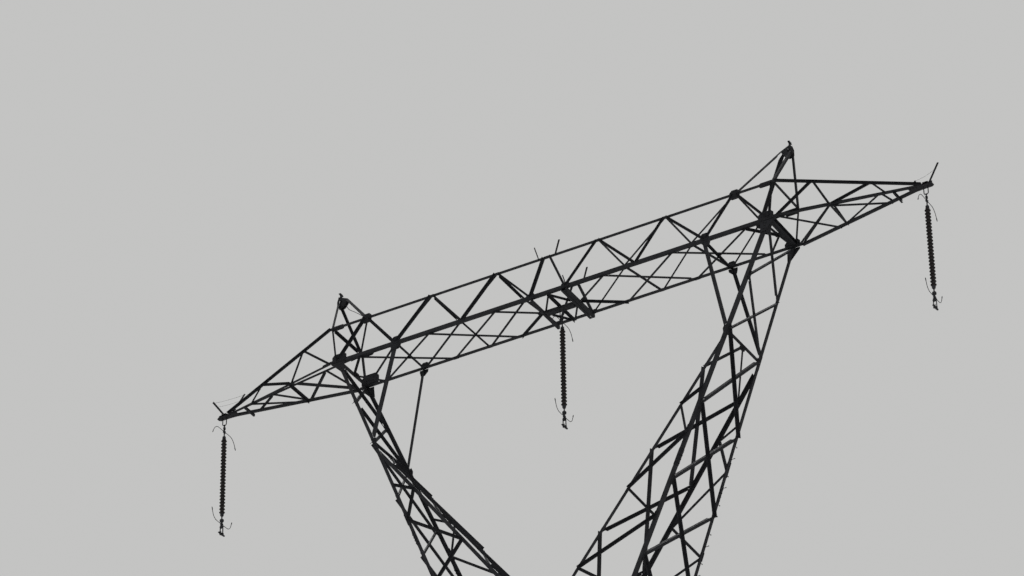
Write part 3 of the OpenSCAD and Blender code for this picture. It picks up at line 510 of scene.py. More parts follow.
class Side:
    """A flat side of the lattice, where bars and gussets get their bolts."""

    def __init__(self, piece, o, a, v, mirrors, d=16):
        self.piece, self.mirrors, self.d = piece, mirrors, d
        self.o, self.a, self.v = Vector(o), Vector(a), Vector(v)
        self.n = self.a.cross(self.v)

    def bolt(self, x, y, d=None):
        p, n = self.o + self.a * x + self.v * y, self.n
        for m in self.mirrors:
            seat(self.piece, (m @ p) * 0.001, (m.to_3x3() @ n).normalized(), d or self.d)

    def bar(self, p, q, b=60):
        p, q = Vector(p), Vector(q)
        u = (q - p).normalized()
        d = 20 if b >= 80 else self.d
        for e, s in ((p, 1), (q, -1)):
            for t in (30, 84):
                c = e + u * s * t
                self.bolt(c.x, c.y, d)

    def cross(self, p, q, r, s, b=60):
        self.bar(p, q, b)
        self.bar(r, s, b)
        p, q, r, s = map(Vector, (p, q, r, s))
        d1, d2 = q - p, s - r
        k = d1.x * d2.y - d1.y * d2.x
        t = ((r - p).x * d2.y - (r - p).y * d2.x) / k
        c = p + d1 * t
        self.bolt(c.x, c.y)

    def gusset(self, p, w, h, rot=0, d=None):
        c, s = math.cos(math.radians(rot)), math.sin(math.radians(rot))
        nx, ny = max(1, int((w - 52) // 62) + 1), max(1, int((h - 56) // 66) + 1)
        for i in range(nx):
            for j in range(ny):
                x = 0 if nx == 1 else -w / 2 + 28 + i * (w - 56) / (nx - 1)
                y = 0 if ny == 1 else -h / 2 + 34 + j * (h - 68) / (ny - 1)
                self.bolt(p[0] + c * x - s * y, p[1] + s * x + c * y, d)

    def row(self, p, q, step=75, d=None):
        p, q = Vector(p), Vector(q)
        k = max(1, round((q - p).length / step))
        for i in range(k + 1):
            c = p.lerp(q, i / k)
            self.bolt(c.x, c.y, d)


# body
R4 = [Matrix.Rotation(math.radians(a), 4, "Z") for a in (0, 90, 180, 270)]
b = Side("body_bolts", (0, -base_half, 0), (1, 0, 0), (0, sb / kb, 1 / kb), R4, 20)
lv = [3600, 6900, 9900, 12600, waist_z - 120]
mid = Vector((0, kb * lv[0]))
b.bar(lp(lv[0], -1), lp(lv[0]), 90)
for s in (-1, 1):
    b.bar(lp(260, s), mid, 90)
    q1 = Vector(lp(260, s)).lerp(mid, 0.36)
    q2 = Vector(lp(260, s)).lerp(mid, 0.68)
    b.bar(q1, lp(1400, s))
    b.bar(lp(1470, s), (q2.x - s * 20, q2.y - 30))
    b.bar((q2.x, q2.y + 10), lp(2650, s))
    b.bar((q2.x - s * 30, q2.y), (s * 1350, kb * lv[0] - 8))
    b.gusset(lg(1435, s, 116), 116, 260)
    b.gusset(q2, 170, 170, s * 45)
    b.gusset(lg(330, s, 300), 300, 420)
    b.gusset(lg(lv[0], s, 300), 300, 420)
b.gusset(mid, 620, 300)
for i in range(4):
    b.cross(lp(lv[i], -1), lp(lv[i + 1]), lp(lv[i]), lp(lv[i + 1], -1), 80)
    f_ = w_at(lv[i]) / (w_at(lv[i]) + w_at(lv[i + 1]))
    b.gusset((0, kb * (lv[i] + f_ * (lv[i + 1] - lv[i]))), 220, 220)
for i in (1, 2, 3):
    for s in (-1, 1):
        b.gusset(lg(lv[i], s, 200), 200, 360)
for i in (2, 4):
    b.bar(lp(lv[i], -1), lp(lv[i]), 80)
for s in (-1, 1):
    b.gusset((s * (w_at(lv[4]) - 118), kb * (lv[4] - 20)), 200, 230)

# fork, near and far faces
n = knee_dz
f = Side("fork_face_bolts", (0, -half_d, beam_z), (1, 0, 0), (0, sy / ky, 1 / ky), XY)
f.bar(no(n + 1530), ni(n + 1850), 65)
f.bar(ni(n + 1850), no(n + 2750), 65)
f.bar(no(n + 2750), ni(n + 3830), 70)
f.bar(ni(n + 3830), no(n + 4870), 70)
f.bar(no(n + 4870), ni(n + 5700), 70)
f.bar(ni(n + 5700), no(n + 6800), 70)
f.gusset(no(n + 2700), 115, 430, -22)
f.gusset(no(n + 4850), 115, 260, -22)
f.gusset(ni(n + 3830), 84, 230, -36)
f.gusset(ni(n + 5700), 84, 260, -36)
f.row(no(n - 100), no(n + 200), 75, 20)
f.row(ni(n + 50), ni(n + 200), 75)
f.row((knee_x - 85, -ky * (n - 120)), (knee_x - 100, -ky * (n + 40)), 80)
f.row(no(70), no(300), 76, 20)
f.row((fork_x + 30, -50), (fork_x - 240, -50), 90)
f.row((strut_x + 50, -50), (strut_x + 50 + ss * 100, -ky * 165), 60)
f.row((strut_x - 45, -45), (strut_x - 45 + ss * 40, -ky * 100), 60)
t = Side("throat_bolts", (0, -half_d, beam_z), (1, 0, 0), (0, sy / ky, 1 / ky), YY)
l, k = no(crotch_dz + 60), no(fork_h - 90)
t.bar((-l[0], l[1]), l, 80)
t.bar((-k[0], k[1]), k, 80)
t.cross((-l[0], l[1]), k, l, (-k[0], k[1]), 70)
t.gusset((0, -ky * (crotch_dz - 60)), 560, 420)
t.gusset((0, (l[1] + k[1]) / 2 - 60), 220, 220)
for s in (-1, 1):
    t.gusset((s * (l[0] - 15), l[1] - 42), 170, 210, s * -22)
    t.gusset((s * (k[0] - 24), k[1] + 26), 190, 200)
# fork, outer and inner sides
o_ = Side("fork_side_bolts", (fork_x, 0, beam_z), (0, 1, 0), (so / ko, 0, 1 / ko), XX)
m = 1460
o_.cross(po(n), po(m, -1), po(n, -1), po(m), 80)
o_.cross(po(m), po(50, -1), po(m, -1), po(50), 80)
lw = [n, n + 1950, n + 3910, n + 5850, n + 7450, fork_h - 60]
for i in range(5):
    o_.cross(po(lw[i]), po(lw[i + 1], -1), po(lw[i], -1), po(lw[i + 1]), 80)
for s in (-1, 1):
    o_.gusset(pg(175, s, 200), 200, 290)
    o_.gusset(pg(n, s, 110), 110, 300)
    o_.gusset(pg(m, s, 115), 115, 240)
    for i in (1, 2, 3, 4):
        o_.gusset(pg(lw[i], s, 115), 115, 260)
o_.bar(po(fork_h - 60), po(fork_h - 60, -1), 80)
i_ = Side("fork_side_bolts", (knee_x, 0, beam_z - knee_dz), (0, -1, 0), (si / ki, 0, 1 / ki), XX)
lz = [915, 2860, 4800, 6750]
for i in range(3):
    i_.cross(pi_(lz[i]), pi_(lz[i + 1], -1), pi_(lz[i], -1), pi_(lz[i + 1]), 72)
w = half_d + sy * n - fork_b - 6
i_.bar((-w, -ki * 38), (w, -ki * 38), 75)
for s in (-1, 1):
    i_.bar((0, -ki * 60), pi_(915, s))
    for i in range(4):
        i_.gusset(pi_(lz[i], s), 74, 220)
i_.gusset((0, -ki * 70), 260, 150)
i_.bar(pi_(6750), pi_(6750, -1))

# beam
t_, u_ = beam_h - 38, 46
s_ = Side("beam_side_bolts", (0, -half_d, beam_z), (1, 0, 0), (0, 0, 1), XY)
s_.bar((end_x - 50, t_), (fork_x + 30, u_), 65)
s_.bar((5430, t_), (fork_x - 40, u_), 65)
s_.bar((5370, t_), (strut_x + 30, u_), 65)
s_.bar((3450, t_), (strut_x - 30, u_), 65)
s_.bar((3390, t_), (2560, u_), 65)
s_.bar((1510, t_), (2500, u_), 65)
s_.bar((1450, t_), (530, u_), 65)
s_.bar((80, t_), (490, u_), 65)
s_.gusset((end_x - 215, t_ - 20), 390, 150)
s_.gusset((5400, t_ - 22), 290, 290)
s_.gusset((fork_x - 70, 130), 430, 250)
s_.gusset((strut_x, 112), 250, 205)
s_.gusset((510, 70), 240, 140)
for x in (3420, 1480):
    s_.gusset((x, t_ - 6), 150, 90)
s_.gusset((2530, u_), 160, 88)
s_.gusset((0, t_ - 6), 200, 90)
y = half_d - 40
p_ = Side("beam_plan_bolts", (0, 0, beam_z + beam_h), (1, 0, 0), (0, 1, 0), [ID])
xs = [45 - end_x, -5400, -3420, -1480, 1480, 3420, 5400, end_x - 45]
for i in range(8):
    p_.bar((xs[i], -y), (xs[i], y))
for i in (0, 1, 2, 4, 5, 6):
    p_.bar((xs[i], y), (xs[i + 1], -y), 50)
y = half_d - 45
xs = [1580, 3550, 5650]
q_ = Side("beam_plan_bolts", (0, 0, beam_z), (1, 0, 0), (0, -1, 0), XX)
for i in (0, 1):
    q_.cross((xs[i], -y), (xs[i + 1], y), (xs[i], y), (xs[i + 1], -y))
for j in (-1, 1):
    q_.bar((575, 0), (xs[0], j * y))
    q_.bar((xs[2], j * y), (fork_x - 60, 0))
    q_.gusset((xs[1], j * y), 200, 86)
    q_.gusset((strut_x, j * y), 130, 86)
q_.bar((strut_x, -y), (strut_x, y))
q_.gusset((640, 0), 130, 120)
q_.gusset((fork_x - 120, 0), 150, 160)
# hanger frame and root beams, from below
h_ = Side("hanger_bolts", (0, 0, beam_z - 104), (1, 0, 0), (0, -1, 0), XY)
for x in (518, 460):
    for y in (half_d - 60, half_d - 10, 200, 60):
        h_.bolt(x, y)
for x in (-90, 90):
    h_.bolt(x, 60)
for x in (160, 300, 390):
    h_.bolt(x, 60)

# side arms
a_ = Side("arm_side_bolts", (end_x, -half_d, beam_z), arm_a, (0, 0, 1), XY)
a_.bar(ab(end_x + 40), at(7430))
a_.bar(at(7490), ab(7860))
a_.bar(ab(7920), at(8890))
a_.bar(at(8950), ab(9270), 50)
a_.gusset(at(7460), 170, 60, -15)
a_.gusset(ab(7890), 200, 60)
a_.gusset(at(8920), 150, 60, -15)
a_.gusset(ab(end_x + 150), 250, 60)
a_.row(ab(9560), ab(10080), 90)
a_.row(at(9600), at(9960), 90)
c_ = Side("arm_plan_bolts", (0, 0, beam_z), (1, 0, 0), (0, -1, 0), XX)
y1, y2, y3, y4 = aw(7890) + 26, aw(7700) + 26, aw(6570) + 26, aw(9270) + 26
c_.bar((7890, y1), (7890, -y1))
c_.bar((7850, y1), (fork_x + 150, -half_d + 50))
c_.gusset((7880, y1), 190, 60, -10)
c_.gusset((7800, -y1 - 8), 300, 60, 10)
for x in (tip_x - 380, tip_x - 300, tip_x - 220, tip_x - 140, tip_x + 100, tip_x + 150):
    for y in (-62, 62):
        c_.bolt(x, y)
# bars that the two arms don't share
ra_ = Side("arm_plan_bolts", (0, 0, beam_z), (1, 0, 0), (0, -1, 0), [ID])
ra_.bar((6570, y3), (7700, -y2))
ra_.bar((7900, y1 - 10), (9270, -y4))
la_ = Side("arm_plan_bolts", (0, 0, beam_z), (1, 0, 0), (0, -1, 0), [MX])
la_.bar((7900, 10 - y1), (9270, y4))
# peaks: on the flat legs near the head and the foot
z0, zt = beam_z + beam_h, beam_z + 2360
k_ = Side("peak_bolts", (peak_x - 20, -54, beam_z), (1, 0, 0), (0, 0, 1), XY)
for c in ((-178, 2405), (-140, 2352), (-118, 2430), (78, 2300), (72, 2360), (62, 2430), (80, 2250), (-60, 2500), (0, 2520), (20, 2240), (-60, 2250)):
    k_.bolt(*c, 16)

for piece, mesh in sorted(placed.items()):
    mesh.make(piece, "bolt_steel", slot="plate_steel")

# ------------------------------------------------------------------ splice covers on the legs and chords


def cover(mesh, p, w, n1, n2, length, width, t, lift=0.0008):
    """Two flat plates round the corner of an angle whose heel passes through p along w; n1, n2 are its two outward normals."""
    for nrm, side in ((n1, n2), (n2, n1)):
        along = -(Vector(side) - Vector(w) * Vector(side).dot(w)).normalized()
        along = (along - Vector(nrm) * along.dot(nrm)).normalized()
        z = Vector(nrm)
        x = Vector(w)
        yv = z.cross(x)
        s = 1 if yv.dot(along) > 0 else -1
        m = Matrix(((x.x, yv.x, z.x, p.x), (x.y, yv.y, z.y, p.y), (x.z, yv.z, z.z, p.z), (0, 0, 0, 1)))
        lo, hi = sorted((s * 0.006, s * width))
        v, fc = box((-length / 2, lo, lift), (length / 2, hi, lift + t), 0.0015)
        mesh.add(v, fc, False, m)
        for i in range(4):
            for yy in (0.3, 0.72):
                u = (-0.5 + (i + 0.5) / 4) * length * 0.9
                q = m @ Vector((u, s * (0.006 + (width - 0.006) * yy), lift + t))
                put_bolt(mesh, q, z, 20, t + 0.014, rng.random())


cov = Mesh()
# body legs at two heights, on all four corners
for zc in (5400, 11300):
    p0 = Vector((w_at(zc), -w_at(zc), zc)) * 0.001
    wdir = Vector((-sb, sb, 1)).normalized()
    n_near = Vector((0, -1, -sb)).normalized()
    n_right = Vector((1, 0, -sb)).normalized()
    one = Mesh()
    cover(one, p0, wdir, n_near, n_right, 0.52, 0.145, 0.010)
    for mm in XY:
        for vv in one.v:
            pass
        cov.add(np.concatenate(one.v), one.f, False, mm)
# fork's outer chords
for dz in (knee_dz + 3350, ):
    p0 = on3(dz) * 0.001
    wdir = Vector((so, sy, 1)).normalized()
    n_near = Vector((0, -1, -sy)).normalized()
    n_out = Vector((1, 0, -so)).normalized()
    one = Mesh()
    cover(one, p0, wdir, n_near, n_out, 0.46, 0.088, 0.009)
    for mm in XY:
        cov.add(np.concatenate(one.v), one.f, False, mm)
cov.make("splice_covers", "plate_steel")

# splice plates along the outer face of the beam's chords at the end nodes, bent to follow the arms
ben = Mesh()
for (zc, h, dz) in ((beam_z + beam_h - 44, 74, -sl), (beam_z + 45, 76, 0)):
    for mm in XY:
        a0 = Vector((end_x - 270, -half_d - 10.5, zc))
        a1 = Vector((end_x - 4, -half_d - 10.5, zc))
        d1 = Vector((arm_a.x, arm_a.y, dz * 1.0)).normalized()
        a2 = a1 + Vector((8, 0, 0))
        a3 = a2 + d1 * 268
        vs = []
        for q in (a0, a1, a2, a3):
            outn = Vector((0, -1, 0)) if q in (a0, a1) else Vector((arm_a.y, -arm_a.x, 0)).normalized()
            for e, hh in ((0, -h / 2), (0, h / 2), (8, h / 2), (8, -h / 2)):
                vs.append((mm @ (q + outn * e + Vector((0, 0, hh)))) * 0.001)
        fc = []
        for i in range(3):
            for j in range(4):
                k1 = (j + 1) % 4
                fc.append((i * 4 + j, i * 4 + k1, i * 4 + 4 + k1, i * 4 + 4 + j))
        fc += [(3, 2, 1, 0), (12, 13, 14, 15)]
        if mm.to_3x3().determinant() > 0:
            fc = [tuple(reversed(x)) for x in fc]
        ben.add([tuple(v) for v in vs], fc, False)
        for q0, dd, nn in ((a0, Vector((1, 0, 0)), Vector((0, -1, 0))), (a2, d1, Vector((arm_a.y, -arm_a.x, 0)).normalized())):
            for i in range(4):
                c = q0 + dd * (36 + i * 62) + nn * 8
                put_bolt(ben, (mm @ c) * 0.001, (mm.to_3x3() @ nn).normalized(), 16, 0.018, rng.random())
ben.make("end_node_splices", "plate_steel")

# ------------------------------------------------------------------ step bolts up the far right corner
stp = Mesh()


def step_bolt(p, nrm, length=0.10, r=0.008):
    """Round step with a nut on the angle and an upset head at its end."""
    m = frame_at(p, nrm)
    stp.add(*rings([(r, -0.012), (r, length - 0.004), (r * 1.9, length - 0.004), (r * 1.9, length + 0.003), (r * 1.3, length + 0.006)], 10), False, m)
    put_bolt(stp, Vector(p) + Vector(nrm) * 0.0, nrm, 20, 0.014, 0.2)


zz, i = 2.6, 0
while zz < 14.7:
    c = Vector((w_at(zz * 1000), w_at(zz * 1000), zz * 1000)) * 0.001
    if i % 2:
        step_bolt(c + Vector((0.0, -0.035, 0)), Vector((1, 0, sb * 0)).normalized())
    else:
        step_bolt(c + Vector((-0.035, 0.0, 0)), Vector((0, 1, 0)))
    zz += 0.36
    i += 1
dz = fork_h - 500
while dz > 5000:
    c = on3(dz)
    c = Vector((c.x, -c.y, c.z)) * 0.001
    if i % 2:
        step_bolt(c + Vector((0.0, -0.03, 0)), Vector((1, 0, 0)))
    else:
        step_bolt(c + Vector((-0.03, 0.0, 0)), Vector((0, 1, 0)))
    dz -= 360
    i += 1
stp.make("step_bolts", "bolt_steel", slot="angle_steel")

# ------------------------------------------------------------------ feet: anchor bolts' nuts, stiffeners and shoes
ft = Mesh()
c0 = base_half - 45
for sx in (-1, 1):
    for sy_ in (-1, 1):
        for i in (-1, 1):
            for j in (-1, 1):
                p = Vector((sx * c0 + i * 165, sy_ * c0 + j * 165, 25)) * 0.001
                m = frame_at(p, (0, 0, 1)) @ MM
                for v, fc in (rings([(30, 0), (30, 4)], 20), rings([(26.5, 3.9), (26.5, 25), (23.5, 28)], 6, 0.3 * i + j),
                              rings([(26.5, 28), (26.5, 49), (23.5, 52)], 6, 0.5 * j), rings([(15, -24), (15, 88), (12.5, 92)], 16)):
                    ft.add(v, fc, False, m)
        # stiffening plates between the angle and the base plate, on the diagonal sides
        cx, cy = sx * (w_at(25) - 6), sy_ * (w_at(25) - 6)
        for (dx, dy) in ((-sx, 0), (0, -sy_)):
            a = Vector((cx, cy, 25.6)) + Vector((dx, dy, 0)) * 154
            nn = Vector((dy, dx, 0))
            out = Vector((dx, dy, 0))
            tri = [a, a + out * 120, a + out * 120 + Vector((0, 0, 30)), a + Vector((dx * 0 - sx * 0, 0, 200)) + out * 8, ]
            vs = [tuple((q + nn * e) * 0.001) for e in (-4, 4) for q in tri]
            fc = [(0, 1, 2, 3), (7, 6, 5, 4)] + [(i + 4, (i + 1) % 4 + 4, (i + 1) % 4, i) for i in range(4)]
            ft.add(vs, fc, False)
ft.make("foot_fittings", "plate_steel")

# ------------------------------------------------------------------ strings
UP, BOW, PIN, CLAMP = 30.0, 280.0, 390.0, 3600.0
D0, DN, DP, DR = 738.0, 23, 99.5, 77.0
MID = 43.0
SPOT = {"left": (-tip_x, beam_z + UP), "center": (0.0, beam_z + UP - MID), "right": (tip_x, beam_z + UP)}


def shed(z):
    return [(51, z + 3), (51.5, z - 1), (53, z - 5), (56, z - 8.5), (62, z - 13.5), (69, z - 18.5), (74, z - 21.8),
            (76.4, z - 24.6), (77.0, z - 27.6), (75.8, z - 30.6), (72.5, z - 31.8), (68.5, z - 31), (62, z - 33.4),
            (57, z - 38), (53, z - 43), (51.5, z - 49), (51, z - 55)]


for side, (X, Z) in SPOT.items():
    M = Matrix.Translation((X * 0.001, 0, Z * 0.001)) @ MM
    # porcelain body with its sheds
    prof = [(20, -690), (51, -700)]
    for i in range(DN):
        prof += shed(-D0 - i * DP)
    zl = -D0 - (DN - 1) * DP - 45
    prof += [(51, zl - 26), (20, zl - 36)]
    ins = Mesh()
    v, fc = rings(prof[::-1], 56)
    ins.add(v, fc, True, M)
    ins.make(side + "_porcelain", "insulator", side + "_string", replaces=(side + "_insulator_string",))
    # metal end caps, tongue, stem, lower socket
    fit = Mesh()
    fit.add(*rings([(45, -706), (53, -703), (54, -698), (50, -692), (46, -686), (46, -640), (41.5, -628), (35, -617), (20, -609), (17, -600), (17, -506)], 40), True, M)
    fit.add(*rings([(17, -3150), (17, -3082), (20, -3074), (35, -3066), (41.5, -3056), (46, -3046), (46, zl - 40), (50, zl - 34), (54, zl - 28), (53, zl - 23), (45, zl - 20)], 40), True, M)
    for z1 in (-650, -3036):
        fit.add(*rings([(46.5, z1 - 4), (48.5, z1 - 2.5), (48.5, z1 + 2.5), (46.5, z1 + 4)], 40), False, M)
    fit.add(*rings([(12, -3302), (22, -3296), (22, -3256), (30, -3246), (45, -3236), (53, -3225), (56, -3210), (56, -3190), (53, -3176),
                    (45, -3164), (30, -3156), (17, -3152), (15, -3140)], 40), True, M)
    # tongue with its rounded eye
    sec = []
    for a in range(-20, 201, 20):
        sec.append((25 * math.cos(math.radians(a)), 25 * math.sin(math.radians(a))))
    sec = sec + [(-15, -48), (15, -48)]
    hole = [(11 * math.cos(2 * math.pi * i / 20), 11 * math.sin(2 * math.pi * i / 20)) for i in range(20)]
    bm = bmesh.new()
    outer = [bm.verts.new((x, -8, z - PIN)) for x, z in sec]
    inner = [bm.verts.new((x, -8, z - PIN)) for x, z in hole]
    es = [bm.edges.new((outer[i], outer[(i + 1) % len(outer)])) for i in range(len(outer))]
    es += [bm.edges.new((inner[i], inner[(i + 1) % 20])) for i in range(20)]
    bmesh.ops.triangle_fill(bm, edges=es, use_beauty=True)
    r = bmesh.ops.extrude_face_region(bm, geom=bm.faces[:])
    bmesh.ops.translate(bm, verts=[q for q in r["geom"] if isinstance(q, bmesh.types.BMVert)], vec=(0, 16, 0))
    bmesh.ops.recalc_face_normals(bm, faces=bm.faces[:])
    bm.verts.index_update()
    fit.add([tuple(q.co) for q in bm.verts], [tuple(q.index for q in x.verts) for x in bm.faces], False, M)
    bm.free()
    # bracket blocks that hold the horns, with their bolts
    fit.add(*box((-17, -42, -512), (17, 42, -440), 4), False, M)
    fit.add(*box((-17, -45, -3352), (17, 45, -3268), 4), False, M)
    fit.add(*box((-24, -30, -500), (24, 30, -452), 5), False, M)
    fit.add(*box((-24, -32, -3340), (24, 32, -3282), 5), False, M)
    for zc, ys in ((-476, (-18, 18)), (-3311, (-20, 20))):
        for yy in ys:
            for sx in (-1, 1):
                put_bolt(fit, M @ Vector((sx * 24, yy, zc)), (sx, 0, 0), 12, None, 0.3)
    # yoke and straps down to the clamp
    fit.add(*box((-46, -20, -3430), (46, 20, -3346), 5), False, M)
    for s in (-1, 1):
        fit.add(*box((s * 40 - 6, -20, -3600), (s * 40 + 6, 20, -3415), 2), False, M)
        mm = M @ Matrix.Translation((s * 40, 0, -CLAMP)) @ Matrix.Rotation(math.pi / 2, 4, "Y")
        # ring end with the trunnion's hole
        k = 32
        vs, fs = [], []
        for rr, zq in ((28, -6), (28, 6), (12.6, 6), (12.6, -6)):
            vs += [(rr * math.cos(2 * math.pi * i / k), rr * math.sin(2 * math.pi * i / k), zq) for i in range(k)]
        for j in range(4):
            for i in range(k):
                a, b2 = j * k + i, j * k + (i + 1) % k
                c, d2 = ((j + 1) % 4) * k + (i + 1) % k, ((j + 1) % 4) * k + i
                fs.append((a, b2, c, d2))
        fit.add(vs, fs, False, mm)
        put_bolt(fit, M @ Vector((s * 46, 0, -3390)), (s, 0, 0), 16, None, 0.1)
    # arcing horns: round rods in the plane across the beam, with thickened tips
    for pts, tip in (([(0, -476), (70, -471), (190, -467), (330, -480), (430, -550), (490, -640), (545, -765)], 1),
                     ([(0, -3311), (80, -3312), (200, -3312), (310, -3295), (390, -3225), (430, -3135), (470, -3015)], 1)):
        for s in (-1, 1):
            c = spline([(0, s * y, z) for y, z in pts], 7)
            rad = [8.0] * len(c)
            for j, q in enumerate((10.0, 12.5, 12.5, 11.0, 7.0)):
                rad[len(c) - 5 + j] = q
            fit.add(*tube(c, rad, 12), True, M)
    fit.make(side + "_string_fittings", "fitting_steel", side + "_string")

    # shackle: forged eye round the U-bolt, yoke, two cheeks and the pin
    sh = Mesh()
    k, kk = 36, 12
    vs, fs = [], []
    for i in range(k):
        a = 2 * math.pi * i / k
        for j in range(kk):
            b2 = 2 * math.pi * j / kk
            rr = 24.2 + 7.8 * math.cos(b2)
            vs.append((9.0 * math.sin(b2), rr * math.cos(a), rr * math.sin(a) - BOW))
    for i in range(k):
        for j in range(kk):
            a, b2 = i * kk + j, i * kk + (j + 1) % kk
            fs.append((a, b2, ((i + 1) % k) * kk + (j + 1) % kk, ((i + 1) % k) * kk + j))
    sh.add(vs, fs, True, M)
    sh.add(*box((-10, -20, -BOW - 62), (10, 20, -BOW - 26), 4), False, M)
    sh.add(*box((-26, -26, -BOW - 71), (26, 26, -BOW - 55), 4), False, M)
    for s in (-1, 1):
        y0, y1 = sorted((s * 12.5, s * 25.5))
        sec = [(24 * math.cos(math.radians(a)), 24 * math.sin(math.radians(a))) for a in range(180, 361, 15)] + [(24, 46), (-24, 46)]
        vs = [(x, y0, z - PIN) for x, z in sec] + [(x, y1, z - PIN) for x, z in sec]
        q = len(sec)
        fs = [tuple(range(q)), tuple(range(2 * q - 1, q - 1, -1))] + [(i, i + q, (i + 1) % q + q, (i + 1) % q) for i in range(q)]
        sh.add(vs, fs, False, M)
    # pin along Y with head, washer and split pin
    mp = M @ Matrix.Translation((0, 0, -PIN)) @ Matrix.Rotation(math.pi / 2, 4, "X")
    sh.add(*rings([(7.5, -42), (9, -40), (9, 26), (15, 26), (15, 34), (12, 36)], 20), False, mp)
    sh.add(*rings([(16, -29), (16, -26.2)], 20), False, mp)
    sh.add(*tube([(-13, -35.5, -PIN), (16, -35.5, -PIN)], 1.8, 6), True, M)
    sh.make(side + "_shackle_forging", "fitting_steel", side + "_link", replaces=(side + "_shackle",))

    # suspension clamp: boat body, keeper with two U-bolts, trunnions
    cl = Mesh()
    ring_n = 9

    def boat(y):
        a = abs(y) / 130
        wd = 27 - 4 * a * a
        dp = 40 - 20 * a ** 1.6
        lift = 7 * a ** 3
        gr = 17 + 5 * a ** 4
        out = [(wd, 4), (wd, -10)] + [(wd * math.cos(math.radians(t)), -10 - (dp - 10) * math.sin(math.radians(t))) for t in (25, 50, 75, 90, 105, 130, 155)] + [(-wd, -10), (-wd, 4)]
        inn = [(-gr * math.cos(math.radians(t)), -gr * math.sin(math.radians(t)) + lift * -0.6 + 2) for t in range(0, 181, 20)]
        return [(x, y, z - CLAMP) for x, z in out + inn]

    ysec = [-130, -124, -112, -90, -60, -30, 0, 30, 60, 90, 112, 124, 130]
    vs, fs = [], []
    for yq in ysec:
        vs += boat(yq)
    q = len(boat(0))
    for j in range(len(ysec) - 1):
        for i in range(q):
            a, b2 = j * q + i, j * q + (i + 1) % q
            fs.append((a, a + q, b2 + q, b2))
    fs += [tuple(range(q)), tuple((len(ysec) - 1) * q + i for i in range(q - 1, -1, -1))]
    cl.add(vs, fs, False, M)
    # keeper
    vs, fs = [], []
    ks = [-88, -80, -40, 0, 40, 80, 88]
    for yq in ks:
        a = abs(yq) / 88
        top = 31 - 7 * a ** 3
        out = [(23, 5), (23, 12)] + [(23 * math.cos(math.radians(t)), 12 + (top - 12) * math.sin(math.radians(t))) for t in (30, 60, 90, 120, 150)] + [(-23, 12), (-23, 5)]
        inn = [(-16.5 * math.cos(math.radians(t)), 3 + 14.5 * math.sin(math.radians(t))) for t in range(0, 181, 20)]
        vs += [(x, yq, z - CLAMP) for x, z in out + inn]
    q = len(out) + len(inn)
    for j in range(len(ks) - 1):
        for i in range(q):
            a, b2 = j * q + i, j * q + (i + 1) % q
            fs.append((a, b2, b2 + q, a + q))
    fs += [tuple(range(q - 1, -1, -1)), tuple((len(ks) - 1) * q + i for i in range(q))]
    cl.add(vs, fs, False, M)
    for yq in (-56, 56):
        path = [(27.5 - 0.0, yq, -36), (27.5, yq, 12)] + [(27.5 * math.cos(math.radians(t)), yq, 12 + 24 * math.sin(math.radians(t))) for t in range(20, 161, 20)] + [(-27.5, yq, 12), (-27.5, yq, -36)]
        path = [Vector(p) for p in path]
        # the bow lies under the body, its threads stand up through the keeper's ears
        path = [Vector((p.x * 0.92, p.y, 4 - p.z * 0.95 - CLAMP)) for p in path]
        cl.add(*tube(path, 5.5, 10), True, M)
        for s in (-1, 1):
            m2 = M @ Matrix.Translation((s * 25.3, yq, 28 - CLAMP))
            cl.add(*rings([(10.4, 0), (10.4, 9), (9.2, 10.5)], 6), False, m2)
            cl.add(*rings([(12, -2.5), (12, 0)], 12), False, m2)
    for s in (-1, 1):
        m2 = M @ Matrix.Translation((0, 0, -CLAMP)) @ Matrix.Rotation(s * math.pi / 2, 4, "Y")
        cl.add(*rings([(17, 24), (17, 31), (11, 31.5), (11, 50), (9.5, 51.5)], 24), False, m2)
        cl.add(*tube([M.inverted() @ (M @ Vector((s * 49, -9, -CLAMP))), Vector((s * 49, 9, -CLAMP))], 1.5, 6), True, M)
    cl.make(side + "_clamp_body", "fitting_steel", side + "_clamp", replaces=(side + "_suspension_clamp",))

# ------------------------------------------------------------------ small things on the steel
ex = Mesh()
# U-bolt nuts above and below the plates, earth-wire clamp bolts
for side, (X, Z) in SPOT.items():
    for s in (-1, 1):
        zt_ = beam_z + (18 if side != "center" else -76)
        m2 = Matrix.Translation(((X + s * 58) * 0.001, 0, zt_ * 0.001)) @ MM
        ex.add(*rings([(25, 0), (25, 4)], 16), False, m2)
        ex.add(*rings([(22.5, 3.9), (22.5, 21), (20, 23)], 6, 0.4), False, m2)
for s in (-1, 1):
    cx = s * peak_x * 0.001
    for yq in (-0.040, 0.040):
        pts = [(cx + 0.021, yq, 29.66 - 0.030), (cx + 0.021, yq, 29.66 + 0.014)]
        for t in range(15, 166, 25):
            pts.append((cx + 0.021 * math.cos(math.radians(t)), yq, 29.674 + 0.0165 * math.sin(math.radians(t))))
        pts += [(cx - 0.021, yq, 29.674), (cx - 0.021, yq, 29.63)]
        ex.add(*tube(pts, 0.004, 8), True)
ex.make("u_bolt_nuts", "bolt_steel", slot="plate_steel")

# thin wires strung between the perch bars
wr = Mesh()


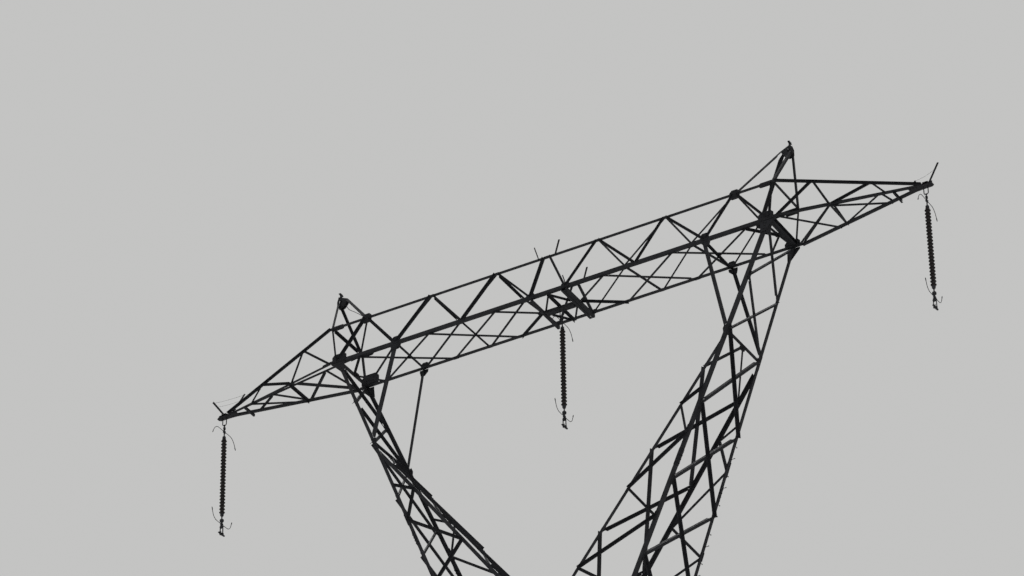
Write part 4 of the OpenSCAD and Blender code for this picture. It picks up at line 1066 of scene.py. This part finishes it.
def strand(p, q, r=0.0028, sag=0.02):
    pts = []
    for i in range(9):
        t = i / 8
        c = Vector(p).lerp(Vector(q), t)
        c.z -= sag * 4 * t * (1 - t)
        pts.append(c)
    wr.add(*tube(pts, r, 6), True)


def on_bar(p, q, t):
    return Vector(p).lerp(Vector(q), t) * 0.001


lo_a, lo_b = (-tip_x - 36, -9.6, beam_z + 110), (-tip_x - 380, -9.6, beam_z + 600)
li_a, li_b = (-9990, 0, beam_z + 100), (-9640, 0, beam_z + 540)
ro_a, ro_b = (tip_x + 112, -9.6, beam_z + 80), (tip_x + 378.7, -9.6, beam_z + 565)
ri_a, ri_b = (9950, 0, beam_z + 90), (9992, 0, beam_z + 258)
for t1, t2 in ((0.92, 0.95), (0.6, 0.62)):
    strand(on_bar(lo_a, lo_b, t1), on_bar(li_a, li_b, t2))
strand(on_bar(ro_a, ro_b, 0.7), on_bar(ri_a, ri_b, 0.97), sag=0.045)
wr.make("perch_wires", "cable", slot="guard_steel")

# bonding lead from the left earth-wire clamp to the steel below
bl = Mesh()
pts = spline([(-6.46, -0.075, 29.22), (-6.30, -0.16, 28.98), (-6.05, -0.31, 28.74), (-5.80, -0.47, 28.49), (-5.60, -0.60, 28.28), (-5.43, -0.735, 28.12)], 6)
bl.add(*tube(pts, 0.009, 8), True)
bl.make("bonding_leads", "cable", slot="guard_steel")

# ------------------------------------------------------------------ floor
me = bpy.data.meshes.new("floor")
kf = 96
me.from_pydata([(0, 0, -0.003)] + [(29 * math.cos(2 * math.pi * i / kf), 29 * math.sin(2 * math.pi * i / kf), -0.003) for i in range(kf)], [],
               [(0, i + 1, (i + 1) % kf + 1) for i in range(kf)])
floor = bpy.data.objects.new("floor", me)
bpy.context.scene.collection.objects.link(floor)
fm = bpy.data.materials.new("floor")
fm.use_nodes = True
fm.node_tree.nodes["Principled BSDF"].inputs["Base Color"].default_value = (0.66, 0.66, 0.655, 1)
fm.node_tree.nodes["Principled BSDF"].inputs["Roughness"].default_value = 0.9
me.materials.append(fm)
